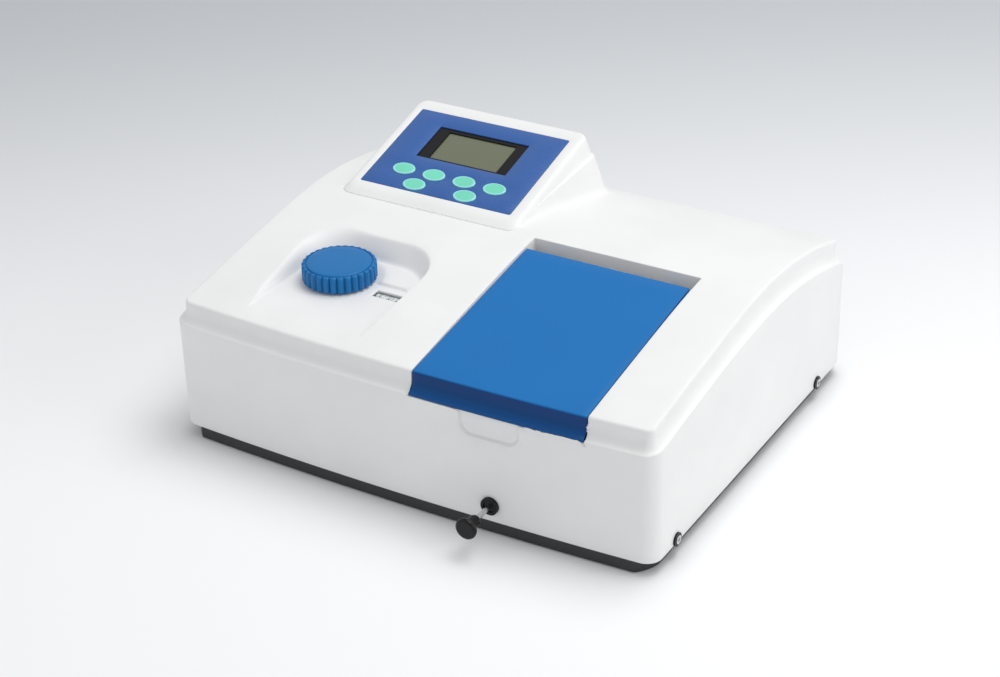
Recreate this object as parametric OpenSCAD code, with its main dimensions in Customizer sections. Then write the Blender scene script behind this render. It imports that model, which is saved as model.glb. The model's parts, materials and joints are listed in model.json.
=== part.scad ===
// Bench-top visible-light spectrophotometer: moulded case, hinged sample lid, four-place cuvette
// changer on a pull rod, top-mounted wavelength knob with counter, tilted display and keypad.
// Frame: +Z up, bench at z = 0, front towards -Y. The origin is on the bench in the middle of the
// whole footprint, from the pull knob's face to the rear fittings. Depths are given from the
// front of the case by fy().

/* [Case] */
// Width of the moulded case
case_w = 460; // [440:1:480]
// Depth of the moulded case at its corners
case_d = 372; // [368:1:380]
// How far the front bulges in the middle
front_bow = 6; // [2:0.5:8]
// Radius of the upright corners
corner_r = 14; // [10:1:20]
// Wall thickness of the mouldings
wall = 3; // [2.5:0.5:3.5]
// Height of the skirt's bottom edge above the bench
skirt_z = 12; // [10:0.5:14]
// Highest point of the arched top
crest_z = 158.6; // [156:0.2:162]
// Highest point of the lip below the top
lip_crest_z = 137.5; // [135:0.5:140]
// How far the top is set in from the skirt
shoulder = 7; // [6:0.5:9]

/* [Display] */
// Tilt of the display face
face_tilt = 14.2; // [12:0.1:16]
// Width of the keypad membrane
panel_w = 156.7; // [150:0.1:158]
// Height of the keypad membrane
panel_h = 111.5; // [108:0.5:113]
// How far a key travels
key_travel = 0.7; // [0.4:0.1:0.8]

/* [Wavelength drive] */
// Radius of the wavelength knob
knob_r = 32.5; // [30:0.5:34]
// Height of the wavelength knob
knob_h = 16; // [14:0.5:18]
// Number of flutes round the knob
knob_flutes = 30; // [24:1:40]
// Distance from the grating's pivot to the drive pin
arm_len = 50; // [48:0.5:52]

/* [Sample changer] */
// Distance from one cuvette to the next
cell_pitch = 19; // [18:0.5:19]
// Outside width of a cuvette
cell_w = 12.5; // [12.3:0.1:12.6]
// Height of the light beam above the bench
beam_z = 49; // [48:0.5:50]
// Radius of the pull rod
rod_r = 2.25; // [2:0.05:2.5]

/* [Hidden] */

white = [0.93, 0.93, 0.92];
blue = [0.16, 0.47, 0.74];
dark = [0.25, 0.25, 0.26];
black = [0.06, 0.06, 0.07];
steel = [0.72, 0.73, 0.75];
alloy = [0.62, 0.63, 0.65];
brass = [0.80, 0.65, 0.32];
clear = [0.80, 0.90, 0.92];
board = [0.10, 0.38, 0.22];
eps = 0.5;
far = 300;

// Reach of the pull knob in front of the case, and of the rear fittings behind it
rod_reach = 45;
rear_reach = 1;
front_y = -(case_d + rear_reach - rod_reach) / 2;
function fy(depth) = front_y + depth;

// Arched side profile: a hyperbola rises to the crest and a circle falls behind it
function rise(depth, crest_depth, slope, soft) =
    slope * (sqrt(pow(crest_depth - depth, 2) + soft * soft) - soft);
function fall(depth, crest_depth, radius) =
    radius - sqrt(radius * radius - pow(depth - crest_depth, 2));
function top_z(depth) = crest_z
    - (depth < 218 ? rise(depth, 218, 0.17, 50) : fall(depth, 218, 430));
function lip_z(depth) = lip_crest_z
    - (depth < 216 ? rise(depth, 216, 0.184, 90) : fall(depth, 216, 440));
profile_steps = 24;

// Sample lid: a flat plate that falls towards the front
lid_slope = 8;
lid_x0 = 11.5;
lid_x1 = 168.5;
lid_gap = 1;
lid_t = 3;
lid_back = 186;
function lid_z(depth) = 129.4 + tan(lid_slope) * (depth - 4);
notch_z = 109.5;
recess_back = 201;
recess_floor_z = 139;
hinge_depth = 189;
hinge_z = 147;
hinge_r = 2;
hinge_xs = [34, 146];
ear_w = 8;
lug_w = 5;
run_gap = 0.05;

// Sample chamber
tub_x0 = 17;
tub_x1 = 163;
tub_d0 = 12;
tub_d1 = 176;
tub_z0 = 18;
tub_wall = 2;
seal_t = 3;
rim_drop = lid_t + 0.3 + seal_t;
lane_x = 85;
rod_z = 27.5;
grommet_face = -5;
grommet_r = 7.9;
beam_depth = 103.5;
window_r = 8;

// Knob pocket in the top
pocket_z = 132.5;
pocket_ledge_z = 135.3;
knob_x = -124;
knob_depth = 99.5;
knob_z = pocket_z + 1.6;
shaft_r = 4;
slot_x0 = -84;
slot_x1 = -58;
slot_d0 = 87;
slot_d1 = 97.5;

// Display face
face_x = -180.5;
face_depth = 218;
face_z = 164.35;
membrane_t = 1;
key_proud = 0.9;
key_len = 22.4;
key_wide = 15.4;
key_pitch = 31.6;
key_row_1 = 27;
key_row_2 = 9.8;
key_places = [[30.9, key_row_1], [30.9 + key_pitch, key_row_1],
    [30.9 + 2 * key_pitch, key_row_1], [30.9 + 3 * key_pitch, key_row_1],
    [51.9, key_row_2], [104.7, key_row_2]];
view_x0 = 31;
view_x1 = 125;
view_y0 = 47.5;
view_y1 = 93;

// Optics
bench_z = 14;
bench_top = 20;
screw_z = 34;
nut_depth = 137;
pivot_x = knob_x - arm_len;
gear_gap = 0.2;
counter_depth = 96;
counter_z = 121;
wheel_r = 8;
wheel_w = 8;

// Base tray
foot_h = 1;
foot_inset = 6.5;
tray_floor_z = 5.5;

// Fasteners and rear fittings
screw_depths = [38, 313];
side_screw_z = 16.5;
panel_depth = 364;
inlet_x = 165;
switch_x = 118;
port_x = 72;
fitting_z = 52;

// ---------------------------------------------------------------- shared shapes

// Rounded rectangle with true corner arcs, from its two opposite corners
module rounded(x0, y0, x1, y1, r) {
    translate([x0 + r, y0]) square([x1 - x0 - 2 * r, y1 - y0]);
    translate([x0, y0 + r]) square([x1 - x0, y1 - y0 - 2 * r]);
    for (x = [x0 + r, x1 - r], y = [y0 + r, y1 - r]) translate([x, y]) circle(r, $fn = 48);
}

// Plan outline of the case, set in by some distance, with its bowed front
module plan(inset) {
    half = case_w / 2;
    chord = half - corner_r;
    bow_r = (chord * chord + front_bow * front_bow) / (2 * front_bow);
    rounded(-half + inset, fy(inset), half - inset, fy(case_d - inset), corner_r - inset * 0.8);
    intersection() {
        translate([0, fy(-front_bow) + bow_r]) circle(bow_r - inset, $fn = 720);
        translate([-chord, fy(-front_bow - 1)]) square([2 * chord, corner_r + front_bow + 1]);
    }
}

// Everything under an arched profile: the top's or the lip's, moved up or down by shift
module under(is_top, shift) {
    d0 = -front_bow - 2;
    span = case_d - d0 + 2;
    depths = [for (i = [0:profile_steps]) d0 + span * i / profile_steps];
    arch = [for (d = depths) [fy(d), (is_top ? top_z(d) : lip_z(d)) + shift]];
    rotate([90, 0, 90]) linear_extrude(case_w, center = true)
        polygon(concat([[fy(d0 + span), -10], [fy(d0), -10]], arch));
}

module layer(inset, is_top, shift, z0) {
    intersection() {
        translate([0, 0, z0]) linear_extrude(far) plan(inset);
        under(is_top, shift);
    }
}

// Box from its two opposite corners, with depths from the front of the case
module block(x0, d0, z0, x1, d1, z1) {
    translate([x0, fy(d0), z0]) cube([x1 - x0, d1 - d0, z1 - z0]);
}

// Upright cylinder
module post(x, depth, z0, z1, r) {
    translate([x, fy(depth), z0]) cylinder(h = z1 - z0, r = r, $fn = 64);
}

// Cylinder along +X
module bar_x(x0, x1, depth, z, r) {
    translate([x0, fy(depth), z]) rotate([0, 90, 0]) cylinder(h = x1 - x0, r = r, $fn = 64);
}

// Cylinder along +Y
module bar_y(x, d0, d1, z, r) {
    translate([x, fy(d0), z]) rotate([-90, 0, 0]) cylinder(h = d1 - d0, r = r, $fn = 64);
}

// Local frame on the display face: x to the right, y up the slope, z out of the face
module on_face() {
    translate([face_x, fy(face_depth), face_z]) rotate([face_tilt, 0, 0]) children();
}

// Slab parallel to the sample lid, below its top surface by near and far_down
module lid_slab(near, far_down, x0, x1, d0, d1) {
    rotate([90, 0, 90]) translate([0, 0, x0]) linear_extrude(x1 - x0)
        polygon([[fy(d0), lid_z(d0) - far_down], [fy(d1), lid_z(d1) - far_down],
            [fy(d1), lid_z(d1) - near], [fy(d0), lid_z(d0) - near]]);
}

// ---------------------------------------------------------------- case

// Drafted well around the knob; grow thickens it into the well's own wall
module pocket_well(grow) {
    hull() {
        translate([0, 0, pocket_z - grow]) linear_extrude(0.1)
            rounded(-163 - grow, fy(24), -55 + grow, fy(139 + grow), 30, $fn = 32);
        translate([0, 0, 170]) linear_extrude(0.1)
            rounded(-182 - grow, fy(24), -46 + grow, fy(164 + grow), 34, $fn = 32);
    }
}

// Raised housing of the display, as a block that tapers towards its tilted face
module display_hood(inset) {
    hull() {
        translate([0, 0, 130]) linear_extrude(1)
            rounded(-198 + inset, fy(204 + inset), 8 - inset, fy(350 - inset), 16, $fn = 32);
        on_face() translate([0, 0, -inset - 1]) linear_extrude(1)
            rounded(-9.5 + inset, -8 + inset, 168 - inset, 127 - inset, 10, $fn = 32);
    }
}

module lid_opening() {
    x0 = lid_x0 - lid_gap;
    x1 = lid_x1 + lid_gap;
    block(x0, -40, notch_z, x1, wall + 1, far);
    block(x0, wall, 60, x1, lid_back - 6, far);
    block(x0, lid_back - 7, recess_floor_z, x1, recess_back, far);
}

// White upper moulding: skirt, stepped cove, arched top, display hood and knob pocket
module upper_shell() {
    color(white) difference() {
        union() {
            difference() {
                union() {
                    layer(0, false, 0, skirt_z);
                    layer(3.4, false, 3.5, 60);
                    layer(5.8, false, 9, 60);
                    layer(shoulder, true, 0, 60);
                    display_hood(0);
                }
                layer(wall, false, -wall, -5);
                layer(shoulder + wall, true, -wall, 50);
                display_hood(wall);
            }
            intersection() {
                pocket_well(wall);
                layer(shoulder, true, 0, 60);
            }
            recess_walls();
            block(lane_x - 31, -4, 84, lane_x + 31, 1, notch_z);
        }
        pocket_cut();
        lid_opening();
        shell_holes();
    }
}

// Floor, end walls and lugs of the recess that the lid's hinge sits in
module recess_walls() {
    intersection() {
        union() {
            block(lid_x0 - lid_gap - wall, lid_back - 8, recess_floor_z - wall,
                lid_x1 + lid_gap + wall, recess_back + wall, far);
            for (x = [lid_x0 - lid_gap - wall, lid_x1 + lid_gap])
                block(x, wall, 122, x + wall, lid_back, far);
        }
        layer(shoulder, true, 0, 60);
    }
}

module pocket_cut() {
    difference() {
        pocket_well(0);
        block(-92, 106, pocket_z - 1, -40, 170, pocket_ledge_z);
    }
    block(slot_x0, slot_d0, pocket_z - wall - 2, slot_x1, slot_d1, pocket_z + 1);
    post(knob_x, knob_depth, pocket_z - wall - 1, pocket_z + 1, shaft_r + 3);
}

module shell_holes() {
    for (side = [-1, 1], d = screw_depths)
        bar_x(side * case_w / 2 - 6, side * case_w / 2 + 6, d, side_screw_z, 4);
    bar_y(lane_x, -20, 10, rod_z, 7);
    bar_y(lane_x, -20, grommet_face, rod_z, grommet_r + 0.4);
    translate([lane_x, fy(-3), 0]) rotate([90, 0, 0]) linear_extrude(20)
        rounded(-27, 88.5, 27, 140, 11);
    on_face() {
        translate([0, 0, -membrane_t]) cube([panel_w, panel_h, 10]);
        translate([view_x0 - 5, view_y0 - 5, -12])
            cube([view_x1 - view_x0 + 10, view_y1 - view_y0 + 10, 14]);
        for (p = key_places) translate([p[0], p[1], -12]) linear_extrude(14) key_outline(0.8);
    }
    block(44, 360, 30, 196, 380, 74);
    for (i = [0:9]) block(-190 + i * 14, 360, 40, -184 + i * 14, 380, 90);
}

// Foot of the base tray: almost flush with the skirt in front, set well in at the sides
module tray_foot() {
    half = case_w / 2 - foot_inset;
    translate([0, 0, foot_h]) linear_extrude(skirt_z - 0.2 - foot_h) intersection() {
        plan(1.5);
        rounded(-half, fy(-4.5), half, fy(case_d - 4), 30);
    }
}

// Dark base tray that carries everything
module base_tray() {
    half = case_w / 2 - foot_inset;
    color(dark) difference() {
        union() {
            tray_foot();
            translate([0, 0, skirt_z - 1]) linear_extrude(17) plan(3.6);
        }
        translate([0, 0, skirt_z - 1]) linear_extrude(30) plan(5.6);
        translate([0, 0, tray_floor_z]) linear_extrude(30)
            rounded(-half + 2.2, fy(6), half - 2.2, fy(case_d - 5.7), 10);
        for (side = [-1, 1], d = screw_depths)
            bar_x(side * case_w / 2 - 8, side * case_w / 2 + 8, d, side_screw_z, 2.1);
        for (x = [-190, 190], d = [35, 337]) post(x, d, 0, 10, 3.1);
        bar_y(lane_x, -20, 10, rod_z, 8);
    }
}

module rubber_feet() {
    color(black) for (x = [-190, 190], d = [35, 337]) {
        post(x, d, 0, foot_h, 12);
        post(x, d, foot_h, tray_floor_z - 0.3, 3);
    }
}

// Mirrored pair of shapes for the left and right sides of the case
module both_sides() {
    for (side = [0, 1]) mirror([side, 0, 0]) children();
}

module screw_cups() {
    face = case_w / 2;
    color(black) both_sides() for (d = screw_depths) difference() {
        union() {
            bar_x(face, face + 1.6, d, side_screw_z, 6);
            bar_x(face - wall, face + eps, d, side_screw_z, 3.9);
        }
        bar_x(face + 0.3, face + 2, d, side_screw_z, 4.3);
        bar_x(face - 5, face + 2, d, side_screw_z, 2.2);
    }
}

module case_screws() {
    face = case_w / 2;
    color(steel) both_sides() for (d = screw_depths) difference() {
        union() {
            bar_x(face + 0.3, face + 2.3, d, side_screw_z, 3.8);
            bar_x(face - 14, face + 0.4, d, side_screw_z, 2);
        }
        for (turn = [0, 90]) translate([face + 2.3, fy(d), side_screw_z])
            rotate([turn, 0, 0]) cube([2.4, 0.9, 4.4], center = true);
    }
}

// ---------------------------------------------------------------- sample lid

// One step of the front flange: a band of the case outline between two insets
module flange_band(inset, z0, z1) {
    intersection() {
        translate([0, 0, z0]) linear_extrude(z1 - z0) difference() {
            plan(inset);
            plan(inset + 3);
        }
        block(lid_x0, -40, 60, lid_x1, 8, 200);
    }
}

module sample_lid() {
    color(blue) difference() {
        union() {
            intersection() {
                lid_slab(0, lid_t, lid_x0, lid_x1, -10, lid_back);
                linear_extrude(far) plan(shoulder);
            }
            flange_band(0.1, notch_z + 0.4, 115);
            flange_band(3, 113, 121);
            flange_band(5, 118, lid_z(3) - 1);
            for (x = [lid_x0, lid_x1 - 2.5]) lid_slab(1, 9, x, x + 2.5, 8, lid_back - 4);
            for (x = hinge_xs) lid_ear(x);
        }
        for (x = hinge_xs) bar_x(x - ear_w, x + ear_w, hinge_depth, hinge_z, hinge_r + run_gap);
    }
}

module lid_ear(x) {
    bar_x(x - ear_w / 2, x + ear_w / 2, hinge_depth, hinge_z, 5);
    block(x - ear_w / 2, hinge_depth - 9, hinge_z - 3, x + ear_w / 2, lid_back,
        lid_z(hinge_depth - 9) - 1);
}

// Hinge pins with the brackets that hold them on the recess floor
module lid_hinge_pins() {
    color(steel) for (x = hinge_xs) {
        bar_x(x - ear_w / 2 - lug_w, x + ear_w / 2 + lug_w, hinge_depth, hinge_z, hinge_r);
        for (side = [-1, 1]) {
            inner = x + side * (ear_w / 2 + 0.4 + lug_w / 2);
            bar_x(inner - lug_w / 2, inner + lug_w / 2, hinge_depth, hinge_z, 4);
            block(inner - lug_w / 2, hinge_depth - 4, recess_floor_z, inner + lug_w / 2,
                hinge_depth + 4, hinge_z);
        }
    }
}

module lid_seal() {
    color(black) difference() {
        lid_slab(lid_t + 0.3, rim_drop, tub_x0, tub_x1, tub_d0, tub_d1);
        block(tub_x0 + 5, tub_d0 + 5, 50, tub_x1 - 5, tub_d1 - 5, 200);
    }
}

// ---------------------------------------------------------------- sample chamber

module sample_chamber() {
    color(black) difference() {
        union() {
            intersection() {
                block(tub_x0, tub_d0, tub_z0, tub_x1, tub_d1, 200);
                lid_slab(rim_drop, 200, tub_x0, tub_x1, tub_d0, tub_d1);
            }
            for (x = [tub_x0 + 12, tub_x1 - 12], d = [tub_d0 + 12, tub_d1 - 12])
                post(x, d, 5.5, tub_z0 + 1, 5);
        }
        block(tub_x0 + tub_wall, tub_d0 + tub_wall, tub_z0 + tub_wall, tub_x1 - tub_wall,
            tub_d1 - tub_wall, 200);
        bar_x(tub_x0 - 5, tub_x1 + 5, beam_depth, beam_z, window_r);
        bar_y(lane_x, tub_d0 - 5, tub_d0 + 5, rod_z, rod_r + 1);
    }
}

module chamber_windows() {
    color(clear) for (x = [tub_x0, tub_x1 - tub_wall])
        bar_x(x, x + tub_wall, beam_depth, beam_z, window_r - 0.05);
}

module rod_grommet() {
    face = grommet_face;
    color(black) difference() {
        union() {
            bar_y(lane_x, face - 2.8, face, rod_z, grommet_r);
            bar_y(lane_x, face - 0.5, face + 4.5, rod_z, 6.9);
        }
        bar_y(lane_x, face - 5, face + 6, rod_z, rod_r + 0.06);
        bar_y(lane_x, face - 4, face - 1.6, rod_z, 5.4);
    }
}

carriage_len = 4 * cell_pitch + 4;
carriage_d0 = beam_depth - cell_pitch / 2 - 2;

module pull_rod() {
    color(steel) bar_y(lane_x, -rod_reach + 12, carriage_d0 + 8, rod_z, rod_r);
}

module pull_knob() {
    color(black) translate([lane_x, fy(-rod_reach), rod_z]) rotate([-90, 0, 0])
        rotate_extrude($fn = 64) polygon([[0, 0], [7.6, 0], [9, 0.9], [9.5, 2.4], [9, 4],
            [7.4, 5.2], [5.6, 7], [5.2, 9], [5.2, 15], [4.4, 17], [rod_r, 17], [rod_r, 12],
            [0, 12]]);
}

// Two rails on the chamber floor and the stop at their far end
module guide_rails() {
    color(steel) {
        for (side = [-1, 1])
            block(lane_x + side * 14 - 1.5, tub_d0 + 14, tub_z0 + tub_wall,
                lane_x + side * 14 + 1.5, tub_d1 - tub_wall, tub_z0 + tub_wall + 4);
        block(lane_x - 15.5, tub_d1 - tub_wall - 1.4, tub_z0 + tub_wall, lane_x + 15.5,
            tub_d1 - tub_wall, tub_z0 + 12);
    }
}

carriage_z = tub_z0 + tub_wall + 0.2;
cell_z = 34;

module cuvette_carriage() {
    color(black) difference() {
        union() {
            block(lane_x - 19, carriage_d0, carriage_z, lane_x + 19, carriage_d0 + carriage_len,
                cell_z);
            block(lane_x - 9.5, carriage_d0, carriage_z, lane_x + 9.5,
                carriage_d0 + carriage_len, 72);
        }
        for (side = [-1, 1])
            block(lane_x + side * 14 - 1.8, carriage_d0 - 1, carriage_z - 1,
                lane_x + side * 14 + 1.8, carriage_d0 + carriage_len + 1, carriage_z + 4.2);
        for (i = [0:3]) {
            cell = beam_depth + i * cell_pitch;
            block(lane_x - cell_w / 2 - 0.15, cell - cell_w / 2 - 0.15, cell_z,
                lane_x + cell_w / 2 + 0.15, cell + cell_w / 2 + 0.15, 100);
            bar_x(lane_x - 12, lane_x + 12, cell, beam_z, 4.5);
        }
        bar_y(lane_x, carriage_d0 - 1, carriage_d0 + 8, rod_z, rod_r);
        for (i = [0:3]) translate([lane_x, fy(beam_depth + i * cell_pitch), carriage_z])
            sphere(1.6, $fn = 24);
    }
}

module cuvettes() {
    color(clear) for (i = [0:3]) difference() {
        cell = beam_depth + i * cell_pitch;
        half = cell_w / 2;
        block(lane_x - half, cell - half, cell_z, lane_x + half, cell + half, cell_z + 45);
        block(lane_x - half + 1.25, cell - half + 1.25, cell_z + 1.5, lane_x + half - 1.25,
            cell + half - 1.25, cell_z + 50);
    }
}

// Sprung ball housing under the carriage that holds each of the four positions
module position_detent() {
    color(brass) difference() {
        post(lane_x, beam_depth, 6.5, tub_z0, 4);
        post(lane_x, beam_depth, 5, 16, 2.5);
    }
}

// ---------------------------------------------------------------- wavelength drive

module wavelength_knob() {
    color(blue) difference() {
        translate([knob_x, fy(knob_depth), knob_z]) {
            rotate_extrude($fn = 128) polygon([[shaft_r, 0], [knob_r - 2, 0], [knob_r, 1.2],
                [knob_r, knob_h - 1.6], [knob_r - 1.2, knob_h - 0.4], [knob_r - 3, knob_h - 0.4],
                [knob_r - 3.6, knob_h - 1], [knob_r - 6, knob_h - 0.4], [knob_r * 0.5, knob_h],
                [0, knob_h], [0, knob_h - 4], [shaft_r, knob_h - 4]]);
        }
        for (i = [0:knob_flutes - 1])
            translate([knob_x, fy(knob_depth), knob_z - 1]) rotate(i * 360 / knob_flutes)
                translate([knob_r + 0.7, 0, 0]) cylinder(h = knob_h, r = 1.7, $fn = 16);
    }
}

module wavelength_shaft() {
    color(steel) post(knob_x, knob_depth, screw_z + 6, knob_z + knob_h - 4, shaft_r);
}

module shaft_bush() {
    color(brass) difference() {
        union() {
            post(knob_x, knob_depth, pocket_z - wall - 8, pocket_z, shaft_r + 3);
            post(knob_x, knob_depth, pocket_z - wall - 3, pocket_z - wall, shaft_r + 6);
        }
        post(knob_x, knob_depth, 100, 150, shaft_r + run_gap);
    }
}

// Smooth 45 degree cones stand for the pair of bevel gears
module bevel(bore) {
    difference() {
        translate([0, 0, 6]) cylinder(h = 6, r1 = 6 - gear_gap, r2 = 12 - gear_gap, $fn = 64);
        if (bore > 0) cylinder(h = 20, r = bore, $fn = 64);
    }
}

module bevel_pinion() {
    color(brass) translate([knob_x, fy(knob_depth), screw_z]) bevel(shaft_r);
}

module bevel_gear() {
    color(brass) translate([knob_x, fy(knob_depth), screw_z]) rotate([-90, 0, 0]) bevel(3);
}

module lead_screw() {
    color(steel) {
        bar_y(knob_x, knob_depth + 6, 170, screw_z, 3);
        bar_y(knob_x, 119, 163, screw_z, 3.8);
    }
}

module screw_bearings() {
    color(alloy) for (d = [114, 164]) difference() {
        block(knob_x - 9, d, bench_top, knob_x + 9, d + 4, screw_z + 7);
        bar_y(knob_x, d - 1, d + 5, screw_z, 3 + run_gap);
    }
}

module screw_nut() {
    color(brass) {
        difference() {
            block(knob_x - 8, nut_depth - 5, screw_z - 6.5, knob_x + 8, nut_depth + 5,
                screw_z + 6.5);
            bar_y(knob_x, nut_depth - 6, nut_depth + 6, screw_z, 3.8 + run_gap);
        }
        post(knob_x, nut_depth, bench_top + 1, screw_z - 6, 2);
    }
}

// Turntable with the arm that the nut's pin pushes
module grating_table() {
    color(alloy) difference() {
        union() {
            post(pivot_x, nut_depth, bench_top + 1.5, bench_top + 7, 17);
            block(pivot_x, nut_depth - 5, bench_top + 1.5, knob_x + 6, nut_depth + 5,
                bench_top + 5.5);
        }
        post(pivot_x, nut_depth, bench_top, bench_top + 8, 4 + run_gap);
        block(knob_x - 4.5, nut_depth - 2.4, bench_top, knob_x + 7, nut_depth + 2.4,
            bench_top + 7);
    }
}

module grating_pivot() {
    color(steel) post(pivot_x, nut_depth, bench_z, bench_top + 7, 4);
}

module diffraction_grating() {
    color(clear) block(pivot_x - 4, nut_depth - 15, bench_top + 7, pivot_x + 4, nut_depth + 15,
        bench_top + 45);
}

module counter_frame() {
    color(black) difference() {
        block(-88, counter_depth - 10, 106, -54, counter_depth + 10, pocket_z - wall);
        block(-84.5, counter_depth - 8.6, 105, -57.5, counter_depth + 8.6, 140);
        bar_x(-90, -52, counter_depth, counter_z, 1.5);
    }
}

module counter_axle() {
    color(steel) bar_x(-89, -53, counter_depth, counter_z, 1.5);
}

module counter_wheel(place) {
    x = slot_x0 + 0.6 + place * (wheel_w + 0.4);
    difference() {
        bar_x(x, x + wheel_w, counter_depth, counter_z, wheel_r);
        bar_x(x - 1, x + wheel_w + 1, counter_depth, counter_z, 1.5 + run_gap);
    }
}

module counter_wheel_hundreds() { color(white) counter_wheel(0); }
module counter_wheel_tens() { color(white) counter_wheel(1); }
module counter_wheel_units() { color(white) counter_wheel(2); }

module counter_window() {
    color(clear) block(slot_x0, slot_d0, pocket_z - wall, slot_x1, slot_d1, pocket_z - wall + 1);
}

// ---------------------------------------------------------------- display and keypad

module key_outline(grow) {
    scale([key_len / 2 + grow, key_wide / 2 + grow]) circle(1, $fn = 96);
}

module keypad_membrane() {
    color([0.25, 0.41, 0.69]) on_face() difference() {
        translate([0, 0, -membrane_t]) linear_extrude(membrane_t)
            rounded(0.2, 0.2, panel_w - 0.2, panel_h - 0.2, 2);
        translate([view_x0, view_y0, -5])
            cube([view_x1 - view_x0, view_y1 - view_y0, 10]);
        for (p = key_places) translate([p[0], p[1], -5]) linear_extrude(10) key_outline(0.2);
    }
}

module key(i) {
    p = key_places[i];
    color([0.55, 0.91, 0.82]) on_face() translate([p[0], p[1], -3.5])
        linear_extrude(3.5 + key_proud) key_outline(0);
}

module key_1() { key(0); }
module key_2() { key(1); }
module key_3() { key(2); }
module key_4() { key(3); }
module key_5() { key(4); }
module key_6() { key(5); }

module display_bezel() {
    color(black) on_face() difference() {
        translate([view_x0 - 3, view_y0 - 3, -4.5])
            cube([view_x1 - view_x0 + 6, view_y1 - view_y0 + 6, 3.4]);
        translate([43, 50, -10]) cube([71, 39, 12]);
    }
}

module display_glass() {
    color([0.47, 0.50, 0.38]) on_face() translate([43.2, 50.2, -4.4])
        cube([70.6, 38.6, 2]);
}

module display_board() {
    color(board) on_face() translate([12, 2, -6.2]) cube([panel_w - 24, panel_h - 14, 1.6]);
}

// ---------------------------------------------------------------- optics and electronics

module optical_bench() {
    color(alloy) difference() {
        union() {
            block(-214, 14, bench_z, 2, 300, bench_top);
            for (x = [-200, -12], d = [26, 150, 288]) post(x, d, 5.5, bench_z + 1, 6);
        }
        post(pivot_x, nut_depth, bench_z - 1, bench_top + 1, 4);
    }
}

lamp_x = -40;
lamp_depth = 262;

module lamp_housing() {
    color(dark) difference() {
        block(lamp_x - 30, lamp_depth - 30, bench_top, lamp_x + 30, lamp_depth + 30, 92);
        block(lamp_x - 28, lamp_depth - 28, bench_top - 1, lamp_x + 28, lamp_depth + 28, 90);
        bar_y(lamp_x, lamp_depth - 32, lamp_depth - 26, beam_z, 9);
        for (i = [-2:2]) block(lamp_x - 20, lamp_depth + i * 9 - 1.5, 88, lamp_x + 20,
            lamp_depth + i * 9 + 1.5, 95);
    }
}

module lamp_socket() {
    color([0.86, 0.84, 0.78]) difference() {
        block(lamp_x - 9, lamp_depth - 9, bench_top, lamp_x + 9, lamp_depth + 9, 34);
        for (side = [-1, 1]) post(lamp_x + side * 3, lamp_depth, 24, 40, 0.8);
    }
}

module tungsten_lamp() {
    color(clear) {
        translate([lamp_x, fy(lamp_depth), 36]) cylinder(h = 18, r = 6, $fn = 48);
        translate([lamp_x, fy(lamp_depth), 54]) sphere(6, $fn = 48);
        for (side = [-1, 1]) post(lamp_x + side * 3, lamp_depth, 26, 37, 0.75);
    }
}

// Upright plate across the bench with a narrow slit on the beam
module slit_plate(x0, d0, x1, d1, slit_wide) {
    difference() {
        block(x0, d0, bench_top, x1, d1, beam_z + 14);
        translate([(x0 + x1) / 2, fy((d0 + d1) / 2), beam_z])
            cube([slit_wide[0], slit_wide[1], 10], center = true);
    }
}

module entrance_slit() { color(dark) slit_plate(lamp_x - 16, 205, lamp_x + 16, 208, [0.8, 20]); }
module exit_slit() { color(dark) slit_plate(-6, 88, -3, 119, [20, 0.8]); }

module fold_mirror() {
    color(clear) translate([lamp_x, fy(165), bench_top]) rotate(50)
        translate([-3, -16, 0]) cube([6, 32, 46]);
}

module detector_housing() {
    color(dark) difference() {
        block(tub_x1 + 1, beam_depth - 18, 5.5, 205, beam_depth + 18, 78);
        bar_x(tub_x1, tub_x1 + 12, beam_depth, beam_z, 6);
    }
}

module main_board() {
    color(board) union() {
        block(16, 200, 18, 214, 300, 19.6);
        for (i = [0:3]) block(30 + i * 26, 222, 19.6, 46 + i * 26, 246, 23);
        for (x = [22, 208], d = [206, 294]) post(x, d, 5.5, 18, 3);
        block(150, 225, 19.6, 200, 285, 34);
    }
}

module power_supply() {
    color(alloy) difference() {
        block(30, 308, 5.5, 200, 352, 52);
        for (i = [0:11]) block(44 + i * 12, 315, 50, 50 + i * 12, 345, 56);
    }
}

module rear_panel() {
    color(dark) difference() {
        block(36, panel_depth, 5.5, 204, panel_depth + 2, 84);
        block(inlet_x - 14, 350, fitting_z - 10, inlet_x + 14, 380, fitting_z + 10);
        block(switch_x - 9.8, 350, fitting_z - 13, switch_x + 9.8, 380, fitting_z + 13);
        block(port_x - 10, 350, fitting_z - 5.5, port_x + 10, 380, fitting_z + 5.5);
    }
}

module power_inlet() {
    color(black) difference() {
        union() {
            block(inlet_x - 13.8, 356, fitting_z - 9.8, inlet_x + 13.8, panel_depth + 3,
                fitting_z + 9.8);
            block(inlet_x - 24, panel_depth + 2, fitting_z - 14, inlet_x + 24, case_d + rear_reach,
                fitting_z + 14);
        }
        block(inlet_x - 12, 359, fitting_z - 8, inlet_x + 12, 380, fitting_z + 8);
    }
}

switch_axis_depth = panel_depth + 1;
trunnion_r = 1.5;

module switch_frame() {
    color(black) difference() {
        union() {
            block(switch_x - 9.7, 357, fitting_z - 12.9, switch_x + 9.7, panel_depth + 3,
                fitting_z + 12.9);
            block(switch_x - 11.5, panel_depth + 2, fitting_z - 15, switch_x + 11.5,
                panel_depth + 3.6, fitting_z + 15);
        }
        block(switch_x - 8.2, 359, fitting_z - 11.5, switch_x + 8.2, 380, fitting_z + 11.5);
        bar_x(switch_x - 9.1, switch_x + 9.1, switch_axis_depth, fitting_z, trunnion_r + run_gap);
    }
}

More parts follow.
